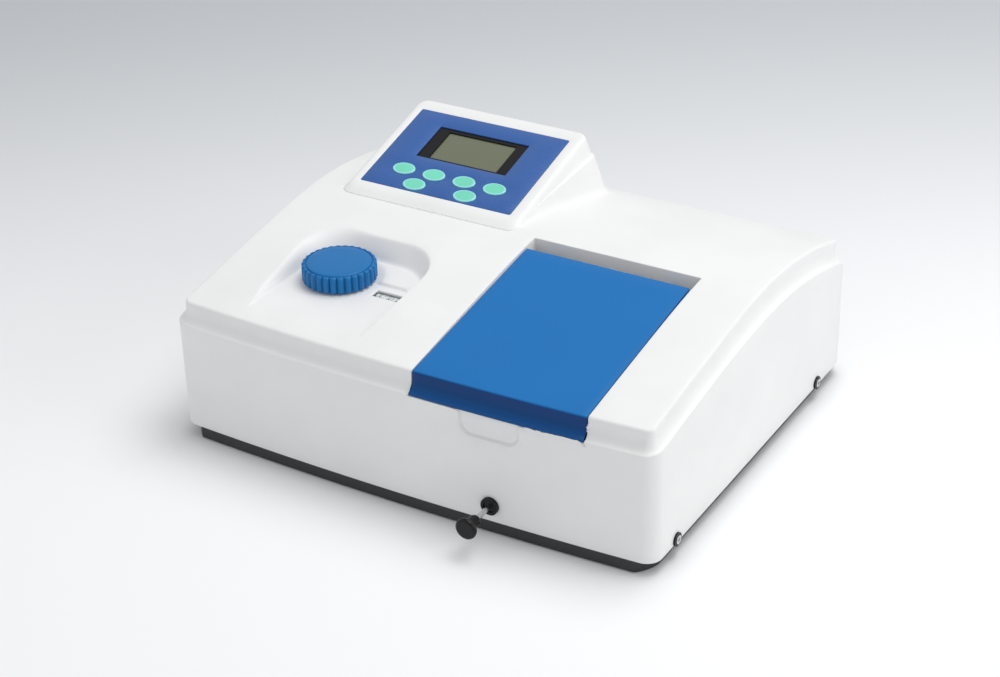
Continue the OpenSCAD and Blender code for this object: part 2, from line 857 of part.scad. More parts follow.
// Rocker of the mains switch, rocking on its two trunnions
module power_switch() {
    color(black) {
        translate([switch_x, fy(switch_axis_depth), fitting_z])
            rotate([90, 0, 90]) linear_extrude(16, center = true)
                polygon([[-4, -9], [-4, 9], [2.4, 10], [4.6, 0], [6, -10], [2, -10.6]]);
        bar_x(switch_x - 9, switch_x + 9, switch_axis_depth, fitting_z, trunnion_r);
    }
}

module data_port() {
    color(steel) difference() {
        union() {
            block(port_x - 9.8, 357, fitting_z - 5.3, port_x + 9.8, panel_depth + 5,
                fitting_z + 5.3);
            block(port_x - 16, panel_depth + 2, fitting_z - 6.5, port_x + 16, panel_depth + 3,
                fitting_z + 6.5);
        }
        block(port_x - 8, 360, fitting_z - 4, port_x + 8, 380, fitting_z + 4);
    }
}

upper_shell();
base_tray();
rubber_feet();
case_screws();
screw_cups();
sample_lid();
lid_hinge_pins();
lid_seal();
sample_chamber();
chamber_windows();
rod_grommet();
pull_rod();
pull_knob();
guide_rails();
cuvette_carriage();
cuvettes();
position_detent();
wavelength_knob();
wavelength_shaft();
shaft_bush();
bevel_pinion();
bevel_gear();
lead_screw();
screw_bearings();
screw_nut();
grating_table();
grating_pivot();
diffraction_grating();
counter_frame();
counter_axle();
counter_wheel_units();
counter_wheel_tens();
counter_wheel_hundreds();
counter_window();
keypad_membrane();
display_bezel();
display_glass();
display_board();
key_1();
key_2();
key_3();
key_4();
key_5();
key_6();
optical_bench();
lamp_housing();
tungsten_lamp();
lamp_socket();
entrance_slit();
fold_mirror();
exit_slit();
detector_housing();
main_board();
power_supply();
rear_panel();
power_inlet();
switch_frame();
power_switch();
data_port();
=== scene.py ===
"""Looks of the bench-top spectrophotometer: moulded shell, lid, knob, keys and materials."""

import json
import math

import bpy
import bmesh
import numpy as np
from mathutils import Matrix, Vector
from mathutils.geometry import delaunay_2d_cdt


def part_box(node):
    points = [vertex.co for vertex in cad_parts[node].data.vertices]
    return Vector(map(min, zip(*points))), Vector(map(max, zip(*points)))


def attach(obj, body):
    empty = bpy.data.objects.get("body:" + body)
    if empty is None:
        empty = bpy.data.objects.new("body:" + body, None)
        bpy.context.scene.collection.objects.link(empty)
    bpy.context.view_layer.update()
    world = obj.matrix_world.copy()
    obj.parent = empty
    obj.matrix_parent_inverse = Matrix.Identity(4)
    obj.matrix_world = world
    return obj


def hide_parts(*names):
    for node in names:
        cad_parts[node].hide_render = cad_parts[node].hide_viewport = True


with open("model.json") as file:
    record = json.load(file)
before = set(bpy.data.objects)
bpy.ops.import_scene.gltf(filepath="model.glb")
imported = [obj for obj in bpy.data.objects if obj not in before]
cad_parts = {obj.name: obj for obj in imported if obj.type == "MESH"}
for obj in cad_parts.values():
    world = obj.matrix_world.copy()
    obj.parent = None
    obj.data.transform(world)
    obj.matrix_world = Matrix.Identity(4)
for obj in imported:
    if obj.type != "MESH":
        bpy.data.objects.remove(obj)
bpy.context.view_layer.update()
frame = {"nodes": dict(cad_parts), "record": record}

# ------------------------------------------------------------------ places from the frame
# Inside this script lengths are millimetres, and a place is (x, depth, z): depth is counted
# from the front of the case, as in the CAD source.
MM = 0.001
FRONT_BOW = 6.0


def box_mm(node):
    low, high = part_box(node)
    return np.array(low) / MM, np.array(high) / MM


shell_low, shell_high = box_mm("upper_shell")
FRONT_Y = shell_low[1] + FRONT_BOW
CASE_D = shell_high[1] - FRONT_Y
HALF_W = (shell_high[0] - shell_low[0]) / 2
SKIRT_Z = shell_low[2]
CORNER_R = 14.0
SHOULDER = 7.0
WALL = 2.0


def depth_of(y):
    return y - FRONT_Y


def arch(depth, crest, crest_depth, slope, soft, radius):
    """A hyperbola rises to the crest and a circle falls behind it."""
    ahead = crest_depth - depth
    if ahead > 0:
        return crest - slope * (math.hypot(ahead, soft) - soft)
    return crest - radius + math.sqrt(radius * radius - ahead * ahead)


def top_z(depth):
    return arch(depth, 158.6, 218, 0.17, 50, 430)


def lip_z(depth):
    return arch(depth, 137.5, 216, 0.184, 90, 440)


lid_low, lid_high = box_mm("sample_lid")
LID_X0, LID_X1 = lid_low[0], lid_high[0]
EAR_REACH = 8.0
LID_BACK = depth_of(lid_high[1]) - EAR_REACH
LID_SLOPE = math.tan(math.radians(8))
LID_GAP = 0.7
OPEN_X0, OPEN_X1 = LID_X0 - LID_GAP, LID_X1 + LID_GAP
OPEN_BACK = 201.0
OPEN_EDGE = 0.6
NOTCH_Z = 109.5
OPEN_CORNER_R = 1.6
RECESS_Z = 139.0
RECESS_AHEAD = 6.0


def lid_z(depth):
    return 129.4 + LID_SLOPE * (depth - 4)


# ------------------------------------------------------------------ small maths
def lerp(a, b, t):
    return a + (b - a) * t


def smoothstep(t):
    t = min(max(t, 0.0), 1.0)
    return t * t * (3 - 2 * t)


def smooth_min(a, b, soft):
    h = max(soft - abs(a - b), 0.0) / soft
    return min(a, b) - h * h * soft / 4


def smooth_max(a, b, soft):
    return -smooth_min(-a, -b, soft)


def arc(centre_x, centre_y, r, start, end, steps):
    """Points on an arc, in degrees, without its last one."""
    out = []
    for i in range(steps):
        a = math.radians(lerp(start, end, i / steps))
        out.append((centre_x + r * math.cos(a), centre_y + r * math.sin(a)))
    return out


def rounded_rect(x0, y0, x1, y1, r, side=12, corner=8):
    """Closed outline from the lower left, anticlockwise, with the same count for every size.
    The radius is one number, or one for each corner."""
    radii = r if isinstance(r, tuple) else (r,) * 4
    spots = ((x0, y0, 1, 1), (x1, y0, -1, 1), (x1, y1, -1, -1), (x0, y1, 1, -1))
    centres = [np.array((x + sx * radius, y + sy * radius))
               for (x, y, sx, sy), radius in zip(spots, radii)]
    out = []
    for i, centre in enumerate(centres):
        start = (180 + 90 * i) % 360
        turn = math.radians(start + 90)
        heading = np.array((math.cos(turn), math.sin(turn)))
        after = (i + 1) % 4
        here = centre + heading * radii[i]
        there = centres[after] + heading * radii[after]
        out += arc(*centre, radii[i], start, start + 90, corner)
        out += [tuple(lerp(here, there, k / side)) for k in range(side)]
    return out


def inside(loop, x, y):
    """True if the point is inside the closed outline."""
    hit = False
    for (x0, y0), (x1, y1) in zip(loop, loop[1:] + loop[:1]):
        if (y0 > y) != (y1 > y) and x < (x1 - x0) * (y - y0) / (y1 - y0) + x0:
            hit = not hit
    return hit


def inside_all(loop, points):
    """The same test for an array of points."""
    pts = np.asarray(points, float)
    hit = np.zeros(len(pts), bool)
    for (x0, y0), (x1, y1) in zip(loop, loop[1:] + loop[:1]):
        if y0 != y1:
            cross = (y0 > pts[:, 1]) != (y1 > pts[:, 1])
            hit ^= cross & (pts[:, 0] < (x1 - x0) * (pts[:, 1] - y0) / (y1 - y0) + x0)
    return hit


# ------------------------------------------------------------------ mesh building
class Mesh:
    """Collects points and faces in (x, depth, z), then welds them into one object."""

    def __init__(self):
        self.points = []
        self.faces = []
        self.tints = []

    def add(self, points, faces, tints=None):
        base = len(self.points)
        self.points += [tuple(float(c) for c in p) for p in points]
        self.faces += [tuple(base + i for i in f) for f in faces]
        self.tints += tints or [0.0] * len(points)

    def strip(self, rows, closed=False, skip=(), tints=None):
        """Quads between rows of points of equal length; skip lists columns left open, and
        tints gives each row a value that its material can read."""
        n = len(rows[0])
        cols = range(n if closed else n - 1)
        faces = []
        for r in range(len(rows) - 1):
            for c in cols:
                if c not in skip:
                    d = (c + 1) % n
                    faces.append((r * n + c, r * n + d, (r + 1) * n + d, (r + 1) * n + c))
        values = [t for t in tints for _ in range(n)] if tints else None
        self.add([p for row in rows for p in row], faces, values)

    def sweep(self, sections):
        """Closed solid through flat sections of equal length."""
        self.strip(sections, closed=True)
        for section in (sections[0], sections[-1]):
            self.add(section, [range(len(section))])

    def patch(self, boundary, holes, lines, loose, lift):
        """Fills a flat region with triangles, follows every outline and line, then lifts each
        point to its place. A chain's point that has a third number already has its height."""
        flat, edges, heights = [], [], []
        for chain, closed in [(boundary, True)] + [(h, True) for h in holes] + list(lines):
            base = len(flat)
            flat += [Vector(p[:2]) for p in chain]
            heights += [float(p[2]) if len(p) > 2 else None for p in chain]
            edges += [(base + i, base + i + 1) for i in range(len(chain) - 1)]
            if closed:
                edges.append((base + len(chain) - 1, base))
        flat += [Vector(p) for p in loose]
        heights += [None] * len(loose)
        verts, _, tris, sources, _, _ = delaunay_2d_cdt(flat, edges, [], 0, 1e-5)
        centres = [[sum(verts[i][k] for i in t) / 3 for k in (0, 1)] for t in tris]
        keep = inside_all([tuple(p[:2]) for p in boundary], centres)
        for h in holes:
            keep &= ~inside_all([tuple(p[:2]) for p in h], centres)
        points = []
        for v, source in zip(verts, sources):
            known = [heights[i] for i in source if heights[i] is not None]
            points.append(lift(v[0], v[1], known[0] if known else None))
        self.add(points, [tuple(t) for t, k in zip(tris, keep) if k])

    def build(self, name, thickness=0.0, round_edges=0.0, sharp=35, weld=0.02):
        """Welded object in metres, made into a closed wall if it has a thickness."""
        bm = bmesh.new()
        tint = bm.verts.layers.float.new("tint")
        for (x, depth, z), value in zip(self.points, self.tints):
            bm.verts.new((x * MM, (depth + FRONT_Y) * MM, z * MM))[tint] = value
        bm.verts.ensure_lookup_table()
        for f in self.faces:
            ids = list(dict.fromkeys(f))
            if len(ids) > 2:
                try:
                    bm.faces.new([bm.verts[i] for i in ids])
                except ValueError:
                    pass
        bmesh.ops.remove_doubles(bm, verts=bm.verts, dist=weld * MM)
        bmesh.ops.dissolve_degenerate(bm, edges=bm.edges, dist=weld * MM / 4)
        loose = [v for v in bm.verts if not v.link_faces]
        bmesh.ops.delete(bm, geom=loose, context="VERTS")
        bmesh.ops.recalc_face_normals(bm, faces=bm.faces)
        if round_edges:
            corners = [e for e in bm.edges if e.is_manifold and e.calc_face_angle() > math.radians(50)]
            bmesh.ops.bevel(bm, geom=corners, offset=round_edges * MM, segments=2, profile=0.5,
                            affect="EDGES", clamp_overlap=True)
        mesh = bpy.data.meshes.new(name)
        bm.to_mesh(mesh)
        bm.free()
        mesh.shade_smooth()
        mesh.set_sharp_from_angle(angle=math.radians(sharp))
        obj = bpy.data.objects.new(name, mesh)
        bpy.context.scene.collection.objects.link(obj)
        if thickness:
            solid = obj.modifiers.new("wall", "SOLIDIFY")
            solid.thickness = thickness * MM
            solid.offset = -1
            solid.use_even_offset = False
        return obj


def cut_or_join(base, tool, operation):
    """Applies a boolean with another object, which is then removed."""
    modifier = base.modifiers.new("boolean", "BOOLEAN")
    modifier.operation = operation
    modifier.solver = "EXACT"
    modifier.object = tool
    result = base.evaluated_get(bpy.context.evaluated_depsgraph_get())
    base.data = bpy.data.meshes.new_from_object(result)
    base.modifiers.clear()
    bpy.data.objects.remove(tool)


def finish_piece(obj, body, slot, nodes=()):
    obj.data.materials.clear()
    obj.data.materials.append(MATERIALS[slot])
    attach(obj, body)
    if nodes:
        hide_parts(*nodes)
    return obj


# ------------------------------------------------------------------ materials
class Nodes:
    """Short forms for building a node material."""

    def __init__(self, name):
        self.material = bpy.data.materials.new(name)
        self.material.use_nodes = True
        self.tree = self.material.node_tree
        self.shader = self.tree.nodes["Principled BSDF"]
        self.coords = self.add("ShaderNodeTexCoord").outputs["Object"]

    def add(self, kind, **settings):
        node = self.tree.nodes.new(kind)
        for key, value in settings.items():
            setattr(node, key, value)
        return node

    def join(self, source, node, socket):
        self.tree.links.new(source, node.inputs[socket])

    def noise(self, scale, detail, stretch=(1, 1, 1)):
        mapping = self.add("ShaderNodeMapping")
        mapping.inputs["Scale"].default_value = stretch
        self.join(self.coords, mapping, "Vector")
        node = self.add("ShaderNodeTexNoise")
        node.inputs["Scale"].default_value = scale
        node.inputs["Detail"].default_value = detail
        self.join(mapping.outputs["Vector"], node, "Vector")
        return node.outputs["Fac"]

    def ramp(self, source, low, high):
        node = self.add("ShaderNodeValToRGB")
        node.color_ramp.elements[0].position = 0.3
        node.color_ramp.elements[1].position = 0.7
        node.color_ramp.elements[0].color = (*low, 1)
        node.color_ramp.elements[1].color = (*high, 1)
        self.join(source, node, "Fac")
        return node.outputs["Color"]

    def vary(self, source, low, high):
        """A plain value between low and high."""
        return self.ramp(source, (low,) * 3, (high,) * 3)

    def tint(self):
        """The value that the mesh carries for its second colour."""
        return self.add("ShaderNodeAttribute", attribute_name="tint").outputs["Fac"]

    def bump(self, source, strength, distance, under=None):
        node = self.add("ShaderNodeBump")
        node.inputs["Strength"].default_value = strength
        node.inputs["Distance"].default_value = distance
        self.join(source, node, "Height")
        if under is not None:
            self.join(under, node, "Normal")
        return node.outputs["Normal"]

    def edge_wear(self, amount):
        """0 on flat faces and up to amount along edges."""
        bevel = self.add("ShaderNodeBevel", samples=4)
        bevel.inputs["Radius"].default_value = 0.0008
        geometry = self.add("ShaderNodeNewGeometry")
        dot = self.add("ShaderNodeVectorMath", operation="DOT_PRODUCT")
        self.join(bevel.outputs["Normal"], dot, 0)
        self.join(geometry.outputs["Normal"], dot, 1)
        rng = self.add("ShaderNodeMapRange")
        rng.inputs["From Min"].default_value = 0.999
        rng.inputs["From Max"].default_value = 0.93
        rng.inputs["To Max"].default_value = amount
        self.join(dot.outputs["Value"], rng, "Value")
        return rng.outputs["Result"]

    def mix(self, factor, a, b):
        node = self.add("ShaderNodeMix", data_type="RGBA")
        self.join(factor, node, "Factor")
        for socket, value in (("A", a), ("B", b)):
            target = [s for s in node.inputs if s.name == socket and s.type == "RGBA"][0]
            if isinstance(value, tuple):
                target.default_value = (*value, 1)
            else:
                self.tree.links.new(value, target)
        return [s for s in node.outputs if s.type == "RGBA"][0]

    def set(self, **values):
        for key, value in values.items():
            socket = self.shader.inputs[key.replace("_", " ")]
            if isinstance(value, (int, float)):
                socket.default_value = value
            elif isinstance(value, tuple):
                socket.default_value = (*value, 1) if len(value) == 3 else value
            else:
                self.tree.links.new(value, socket)


def shade(colour, factor):
    return tuple(min(c * factor, 1.0) for c in colour)


def plastic(name, colour, roughness, grain=2600, grain_depth=0.00003, wear=0.0, gloss=0.42,
            painted_shade_colour=None):
    """Moulded plastic: spark-eroded grain, faint flow variation, uneven gloss and lighter edges.
    Where the mesh's tint is 1 the colour goes over to a second one, which the lid uses as painted
    shade on its flange."""
    n = Nodes(name)
    flow = n.ramp(n.noise(14, 4), shade(colour, 0.972), shade(colour, 1.02))
    # painted shade: the second colour darkens what the mesh's tint marks, standing in for shade
    if painted_shade_colour:
        flow = n.mix(n.tint(), flow, painted_shade_colour)
    if wear:
        flow = n.mix(n.edge_wear(wear), flow, shade(colour, 1.35))
    grain_height = n.noise(grain, 2)
    wave = n.bump(n.noise(55, 2), 0.05, 0.0004)
    n.set(Base_Color=flow, Specular_IOR_Level=gloss,
          Roughness=n.vary(n.noise(380, 3), roughness - 0.05, roughness + 0.06),
          Normal=n.bump(grain_height, 0.22, grain_depth, wave))
    return n.material


def metal(name, colour, roughness, stretch=(1, 1, 1)):
    """Machined metal: tool marks drawn out along one direction and uneven roughness."""
    n = Nodes(name)
    marks = n.noise(900, 4, stretch)
    n.set(Base_Color=n.ramp(n.noise(40, 3), shade(colour, 0.9), shade(colour, 1.05)), Metallic=1.0,
          Roughness=n.vary(marks, roughness * 0.75, roughness * 1.3),
          Normal=n.bump(marks, 0.25, 0.00002))
    return n.material


def clear(name, tint, roughness=0.02):
    """Clear glass or acrylic with the faintest smears."""
    n = Nodes(name)
    n.set(Base_Color=tint, Transmission_Weight=0.95, IOR=1.47,
          Roughness=n.vary(n.noise(60, 4), roughness, roughness + 0.05))
    # shadow rays pass straight through, so that what is behind the glass is lit
    path = n.add("ShaderNodeLightPath")
    open_way = n.add("ShaderNodeBsdfTransparent")
    mixer = n.add("ShaderNodeMixShader")
    n.join(path.outputs["Is Shadow Ray"], mixer, 0)
    n.join(n.shader.outputs["BSDF"], mixer, 1)
    n.join(open_way.outputs["BSDF"], mixer, 2)
    n.join(mixer.outputs["Shader"], n.tree.nodes["Material Output"], "Surface")
    return n.material


def mirror(name):
    """Bright mirror with the fine ruling of a diffraction grating."""
    n = Nodes(name)
    rule = n.add("ShaderNodeTexWave", wave_type="BANDS", bands_direction="X")
    rule.inputs["Scale"].default_value = 1400
    n.join(n.coords, rule, "Vector")
    n.set(Base_Color=(0.86, 0.88, 0.92), Metallic=1.0, Roughness=0.06,
          Normal=n.bump(rule.outputs["Fac"], 0.08, 0.00001))
    return n.material


def circuit(name):
    """Solder mask with paler tracks and a fine resist texture."""
    n = Nodes(name)
    tracks = n.add("ShaderNodeTexBrick")
    tracks.inputs["Scale"].default_value = 130
    tracks.inputs["Mortar Size"].default_value = 0.012
    tracks.inputs["Color1"].default_value = (0.012, 0.11, 0.045, 1)
    tracks.inputs["Color2"].default_value = (0.02, 0.16, 0.07, 1)
    tracks.inputs["Mortar"].default_value = (0.07, 0.30, 0.15, 1)
    n.join(n.coords, tracks, "Vector")
    n.set(Base_Color=tracks.outputs["Color"], Roughness=0.35, Coat_Weight=0.4,
          Normal=n.bump(n.noise(700, 3), 0.2, 0.00003))
    return n.material


def lcd_glass(name):
    """Unlit liquid crystal: olive, with the dot grid barely showing and a faint cast."""
    n = Nodes(name)
    dots = n.add("ShaderNodeTexBrick", offset=0.0)
    dots.inputs["Scale"].default_value = 900
    dots.inputs["Mortar Size"].default_value = 0.02
    dots.inputs["Brick Width"].default_value = 0.5
    dots.inputs["Row Height"].default_value = 0.5
    dots.inputs["Color1"].default_value = (0.122, 0.138, 0.078, 1)
    dots.inputs["Color2"].default_value = (0.116, 0.131, 0.074, 1)
    dots.inputs["Mortar"].default_value = (0.140, 0.155, 0.092, 1)
    n.join(n.coords, dots, "Vector")
    cast = n.mix(n.noise(9, 2), dots.outputs["Color"], (0.16, 0.175, 0.11))
    n.set(Base_Color=cast, Roughness=n.vary(n.noise(90, 3), 0.16, 0.24),
          Coat_Weight=0.35, Coat_Roughness=0.08)
    return n.material


def key_material(name, body_colour, rim_colour):
    """Glossy printed key: a paler rim that follows the mesh's tint, and fine grain."""
    n = Nodes(name)
    speckle = n.ramp(n.noise(30, 3), shade(body_colour, 0.94), shade(body_colour, 1.05))
    n.set(Base_Color=n.mix(n.tint(), speckle, rim_colour), Coat_Weight=0.3, Coat_Roughness=0.12,
          Roughness=n.vary(n.noise(300, 3), 0.26, 0.36),
          Normal=n.bump(n.noise(1600, 2), 0.15, 0.00002))
    return n.material


def rubber(name):
    """Matt black rubber or foam with a fine pebbled skin."""
    n = Nodes(name)
    n.set(Base_Color=n.vary(n.noise(60, 4), 0.018, 0.035), Roughness=0.78,
          Normal=n.bump(n.noise(1500, 4), 0.4, 0.00006))
    return n.material


WHITE = (0.845, 0.845, 0.838)
BLUE = (0.008, 0.160, 0.460)
KNOB_BLUE = (0.010, 0.160, 0.430)
# painted shade: this darker blue on the lid's flange stands in for the shade on the flange's front
FLANGE_PAINTED_SHADE_BLUE = (0.001, 0.045, 0.185)
TRAY_GREY = (0.032, 0.032, 0.034)
FILM_BLUE = (0.032, 0.112, 0.36)
BLACK = (0.006, 0.006, 0.007)
COAT_BLACK = (0.012, 0.012, 0.013)

MATERIALS = {
    "case_white": plastic("white_moulding", WHITE, 0.42),
    "tray_dark": plastic("dark_grey_coat", TRAY_GREY, 0.5, grain=1400, grain_depth=0.00008),
    "rubber": rubber("black_rubber"),
    "steel": metal("bright_steel", (0.66, 0.67, 0.69), 0.24, stretch=(1, 9, 1)),
    "black_plastic": plastic("black_moulding", BLACK, 0.32, wear=0.10, gloss=0.25),
    "lid_blue": plastic("lid_blue_moulding", BLUE, 0.40, wear=0.05, gloss=0.2, painted_shade_colour=FLANGE_PAINTED_SHADE_BLUE),
    "knob_blue": plastic("knob_blue_moulding", KNOB_BLUE, 0.34, wear=0.08, gloss=0.25),
    "foam": rubber("seal_foam"),
    "chamber_black": plastic("chamber_black_coat", COAT_BLACK, 0.6, grain=1200, grain_depth=0.00008),
    "clear_glass": clear("counter_glass", (0.95, 0.98, 1.0)),
    "cuvette_glass": clear("cuvette_silica", (0.93, 0.98, 0.99), 0.01),
    "anodised_black": metal("black_anodising", (0.035, 0.035, 0.038), 0.42, stretch=(6, 1, 1)),
    "brass": metal("machined_brass", (0.70, 0.50, 0.20), 0.26),
    "alloy": metal("milled_alloy", (0.56, 0.57, 0.59), 0.36, stretch=(8, 1, 1)),
    "mirror_glass": mirror("ruled_mirror"),
    "wheel_white": plastic("counter_white", (0.62, 0.63, 0.62), 0.45),
    "membrane_blue": plastic("keypad_film", FILM_BLUE, 0.30, grain=1800, grain_depth=0.00002),
    "lcd": lcd_glass("liquid_crystal"),
    "circuit_board": circuit("solder_mask"),
    "key_mint": key_material("mint_key", (0.17, 0.70, 0.50), (0.32, 0.76, 0.76)),
    "ceramic": plastic("socket_ceramic", (0.74, 0.70, 0.60), 0.62, grain=1500, grain_depth=0.00006),
}

slot_of = {s["node"]: s["material_slot"] for s in frame["record"]["subparts"]}
for node_name, node_obj in frame["nodes"].items():
    node_obj.data.materials.clear()
    node_obj.data.materials.append(MATERIALS[slot_of[node_name]])
    node_obj.data.shade_smooth()
    node_obj.data.set_sharp_from_angle(angle=math.radians(30))

# ------------------------------------------------------------------ outline of the case
CHORD = HALF_W - CORNER_R
BOW_R = (CHORD * CHORD + FRONT_BOW * FRONT_BOW) / (2 * FRONT_BOW)
CUT_X0, CUT_X1 = OPEN_X0 - OPEN_EDGE, OPEN_X1 + OPEN_EDGE


def spread(a, b, steps):
    """Evenly spaced values from a up to, but not including, b."""
    return [lerp(a, b, i / steps) for i in range(steps)]


front_left = spread(-CHORD, CUT_X0, 44)
front_open = spread(CUT_X0, CUT_X1, 32)
FRONT_XS = front_left + front_open + spread(CUT_X1, CHORD, 10) + [CHORD]
CUT_0 = len(front_left)
CUT_1 = CUT_0 + len(front_open)
FRONT_COUNT = len(FRONT_XS)
CORNER_STEPS = 9
SIDE_STEPS = 60
BACK_STEPS = 36


def front_depth(x, inset=0.0):
    return BOW_R - FRONT_BOW - math.sqrt((BOW_R - inset) ** 2 - x * x)


def outline(inset):
    """Plan outline of the case, anticlockwise from the front's left end, as (x, depth)."""
    r = CORNER_R - inset
    near, away = CORNER_R, CASE_D - CORNER_R
    pts = [(x, front_depth(x, inset)) for x in FRONT_XS]
    pts += arc(CHORD, near, r, -90, 0, CORNER_STEPS)[1:]
    pts += [(CHORD + r, d) for d in spread(near, away, SIDE_STEPS)]
    pts += arc(CHORD, away, r, 0, 90, CORNER_STEPS)
    pts += [(x, away + r) for x in spread(CHORD, -CHORD, BACK_STEPS)]
    pts += arc(-CHORD, away, r, 90, 180, CORNER_STEPS)
    pts += [(-CHORD - r, d) for d in spread(away, near, SIDE_STEPS)]
    pts += arc(-CHORD, near, r, 180, 270, CORNER_STEPS)
    return pts


RIGHT_START = FRONT_COUNT - 1
BACK_START = FRONT_COUNT + CORNER_STEPS - 1 + SIDE_STEPS + CORNER_STEPS
BACK_END = BACK_START + BACK_STEPS

TOP_EDGE_R = 2.4
COVE_H = 10.5
COVE_STRAIGHT = 3.0
COVE_FOOT = (0.9, 0.5)
LIP_STEPS = ((0.45, 0.25), (0.12, -0.2), (0.0, -1.2))


def cove_curve(low, high, base, height):
    """Hollow curve from inset high, at the top, down and out to inset low: (inset, height)."""
    out = []
    for i in range(9):
        a = math.radians(86 * i / 8)
        out.append((low + (high - low) * math.cos(a), base + height * (1 - math.sin(a))))
    return out


def upper_profile():
    """The wall's profile from the top's edge down to the lip: (inset, height, measured from)."""
    steps = []
    for i in range(7):
        a = math.radians(90 * i / 6)
        inset = SHOULDER + TOP_EDGE_R * (1 - math.sin(a))
        steps.append((inset, -TOP_EDGE_R * (1 - math.cos(a)), top_z))
    low, base = COVE_FOOT
    cove = [(SHOULDER, COVE_H + COVE_STRAIGHT)] + cove_curve(low, SHOULDER, base, COVE_H - base)
    return steps + [(inset, height, lip_z) for inset, height in cove + list(LIP_STEPS)]


def ring(inset, height, measured_from):
    return [(x, d, measured_from(d) + height) for x, d in outline(inset)]


# ------------------------------------------------------------------ finger recess in the front
knob_low, knob_high = box_mm("pull_knob")
LANE_X = (knob_low[0] + knob_high[0]) / 2
ROD_Z = (knob_low[2] + knob_high[2]) / 2
FINGER_HALF = 27.0
FINGER_Z = 88.5
FINGER_R = 11.0
FINGER_DEEP = 2.2
FINGER_TOP = 140.0
FINGER_CUT_Z = 108.0


def finger_distance(x, z):
    """Distance inside the finger recess's outline, negative outside it."""
    cz = (FINGER_Z + FINGER_TOP) / 2
    qx = abs(x - LANE_X) - (FINGER_HALF - FINGER_R)
    qz = abs(z - cz) - ((FINGER_TOP - FINGER_Z) / 2 - FINGER_R)
    out = math.hypot(max(qx, 0), max(qz, 0)) + min(max(qx, qz), 0) - FINGER_R
    return -out


def finger_dent(x, z):
    return FINGER_DEEP * smoothstep((finger_distance(x, z) + 0.7) / 2.2)


def finger_line(inset):
    """The recess's outline, moved in by inset, from its left side round to its right."""
    left, right = LANE_X - FINGER_HALF, LANE_X + FINGER_HALF
    turn_z = FINGER_Z + FINGER_R
    r = FINGER_R - inset
    line = [(left + inset, FINGER_CUT_Z)]
    line += arc(left + FINGER_R, turn_z, r, 180, 270, 10)
    line += [(x, FINGER_Z + inset) for x in spread(left + FINGER_R, right - FINGER_R, 12)]
    line += arc(right - FINGER_R, turn_z, r, 270, 360, 10)
    return line + [(right - inset, turn_z), (right - inset, FINGER_CUT_Z)]


# ------------------------------------------------------------------ knob pocket in the top
POCKET_Z = 132.5
POCKET_TOP_Z = 170.0
LEDGE_RISE = 2.8
LEDGE_DEPTH = 106.0
LEDGE_LEFT = -150.0
dial_low, dial_high = box_mm("wavelength_knob")
DIAL_X = (dial_low[0] + dial_high[0]) / 2
DIAL_DEPTH = depth_of((dial_low[1] + dial_high[1]) / 2)
DIAL_R = (dial_high[0] - dial_low[0]) / 2
# The outlines have small corners in front, where the pocket runs out, and large ones behind.
FLOOR_X0, FLOOR_X1 = -165, -52
POCKET_FLOOR = rounded_rect(FLOOR_X0, 10, FLOOR_X1, 136, (12, 12, 34, 34), 18, 14)
POCKET_RIM = rounded_rect(-183, 5, -40, 161, (14, 14, 40, 40), 18, 14)
SLOT_X0, SLOT_X1 = -84.0, -58.0
SLOT_D0, SLOT_D1 = 87.0, 97.5


def pocket_floor_z(x, depth):
    """The floor, with its low ledge behind the counter's slot and clear of the knob."""
    clear_of_dial = math.hypot(x - DIAL_X, depth - DIAL_DEPTH) - DIAL_R - 1
    step = smoothstep((depth - LEDGE_DEPTH + 1.4) / 2.8) * smoothstep(clear_of_dial / 5)
    step *= smoothstep((x - LEDGE_LEFT) / 30)
    return POCKET_Z + LEDGE_RISE * step


def pocket_softness(x):
    """Width of the blend at the pocket's rim: broad on the left, crisp at the right."""
    return 1.6 + 8.5 * smoothstep((-112 - x) / 62)


def floor_softness(x):
    """Width of the blend where the floor meets the falling top, sharp at the pocket's sides."""
    return 0.4 + 3.6 * smoothstep(min(x - FLOOR_X0, FLOOR_X1 - x) / 25)


def pocket_floor_height(x, depth):
    return smooth_min(top_z(depth), pocket_floor_z(x, depth), floor_softness(x))


def pocket_height(x, depth, u, soft):
    """Height of the pocket's wall at a share u of the way from the floor's outline to the rim's."""
    wall = POCKET_Z + (POCKET_TOP_Z - POCKET_Z) * u
    low = smooth_max(pocket_floor_z(x, depth), wall, 3.2)
    soft_here = 0.4 + soft * smoothstep((depth - 16) / 45)
    return smooth_min(top_z(depth), low, lerp(floor_softness(x), soft_here, smoothstep(u / 0.12)))


def pocket_rings():
    """Rings from the pocket's floor to beyond its rim; the last one lies on the top."""
    levels = [-0.09, -0.05, -0.02, 0.0] + [i / 15 for i in range(1, 16)]
    rings = []
    for level in levels:
        row = []
        for a, b in zip(POCKET_FLOOR, POCKET_RIM):
            soft = pocket_softness((a[0] + b[0]) / 2)
            rise = top_z(lerp(a[1], b[1], 0.4)) - POCKET_Z + soft + 1.0
            reach = rise / (POCKET_TOP_Z - POCKET_Z)
            u = level if level <= 0 else level * reach
            x, d = lerp(a[0], b[0], u), lerp(a[1], b[1], u)
            z = top_z(d) if level == 1.0 else pocket_height(x, d, u, soft)
            row.append((x, d, z))
        rings.append(row)
    return rings


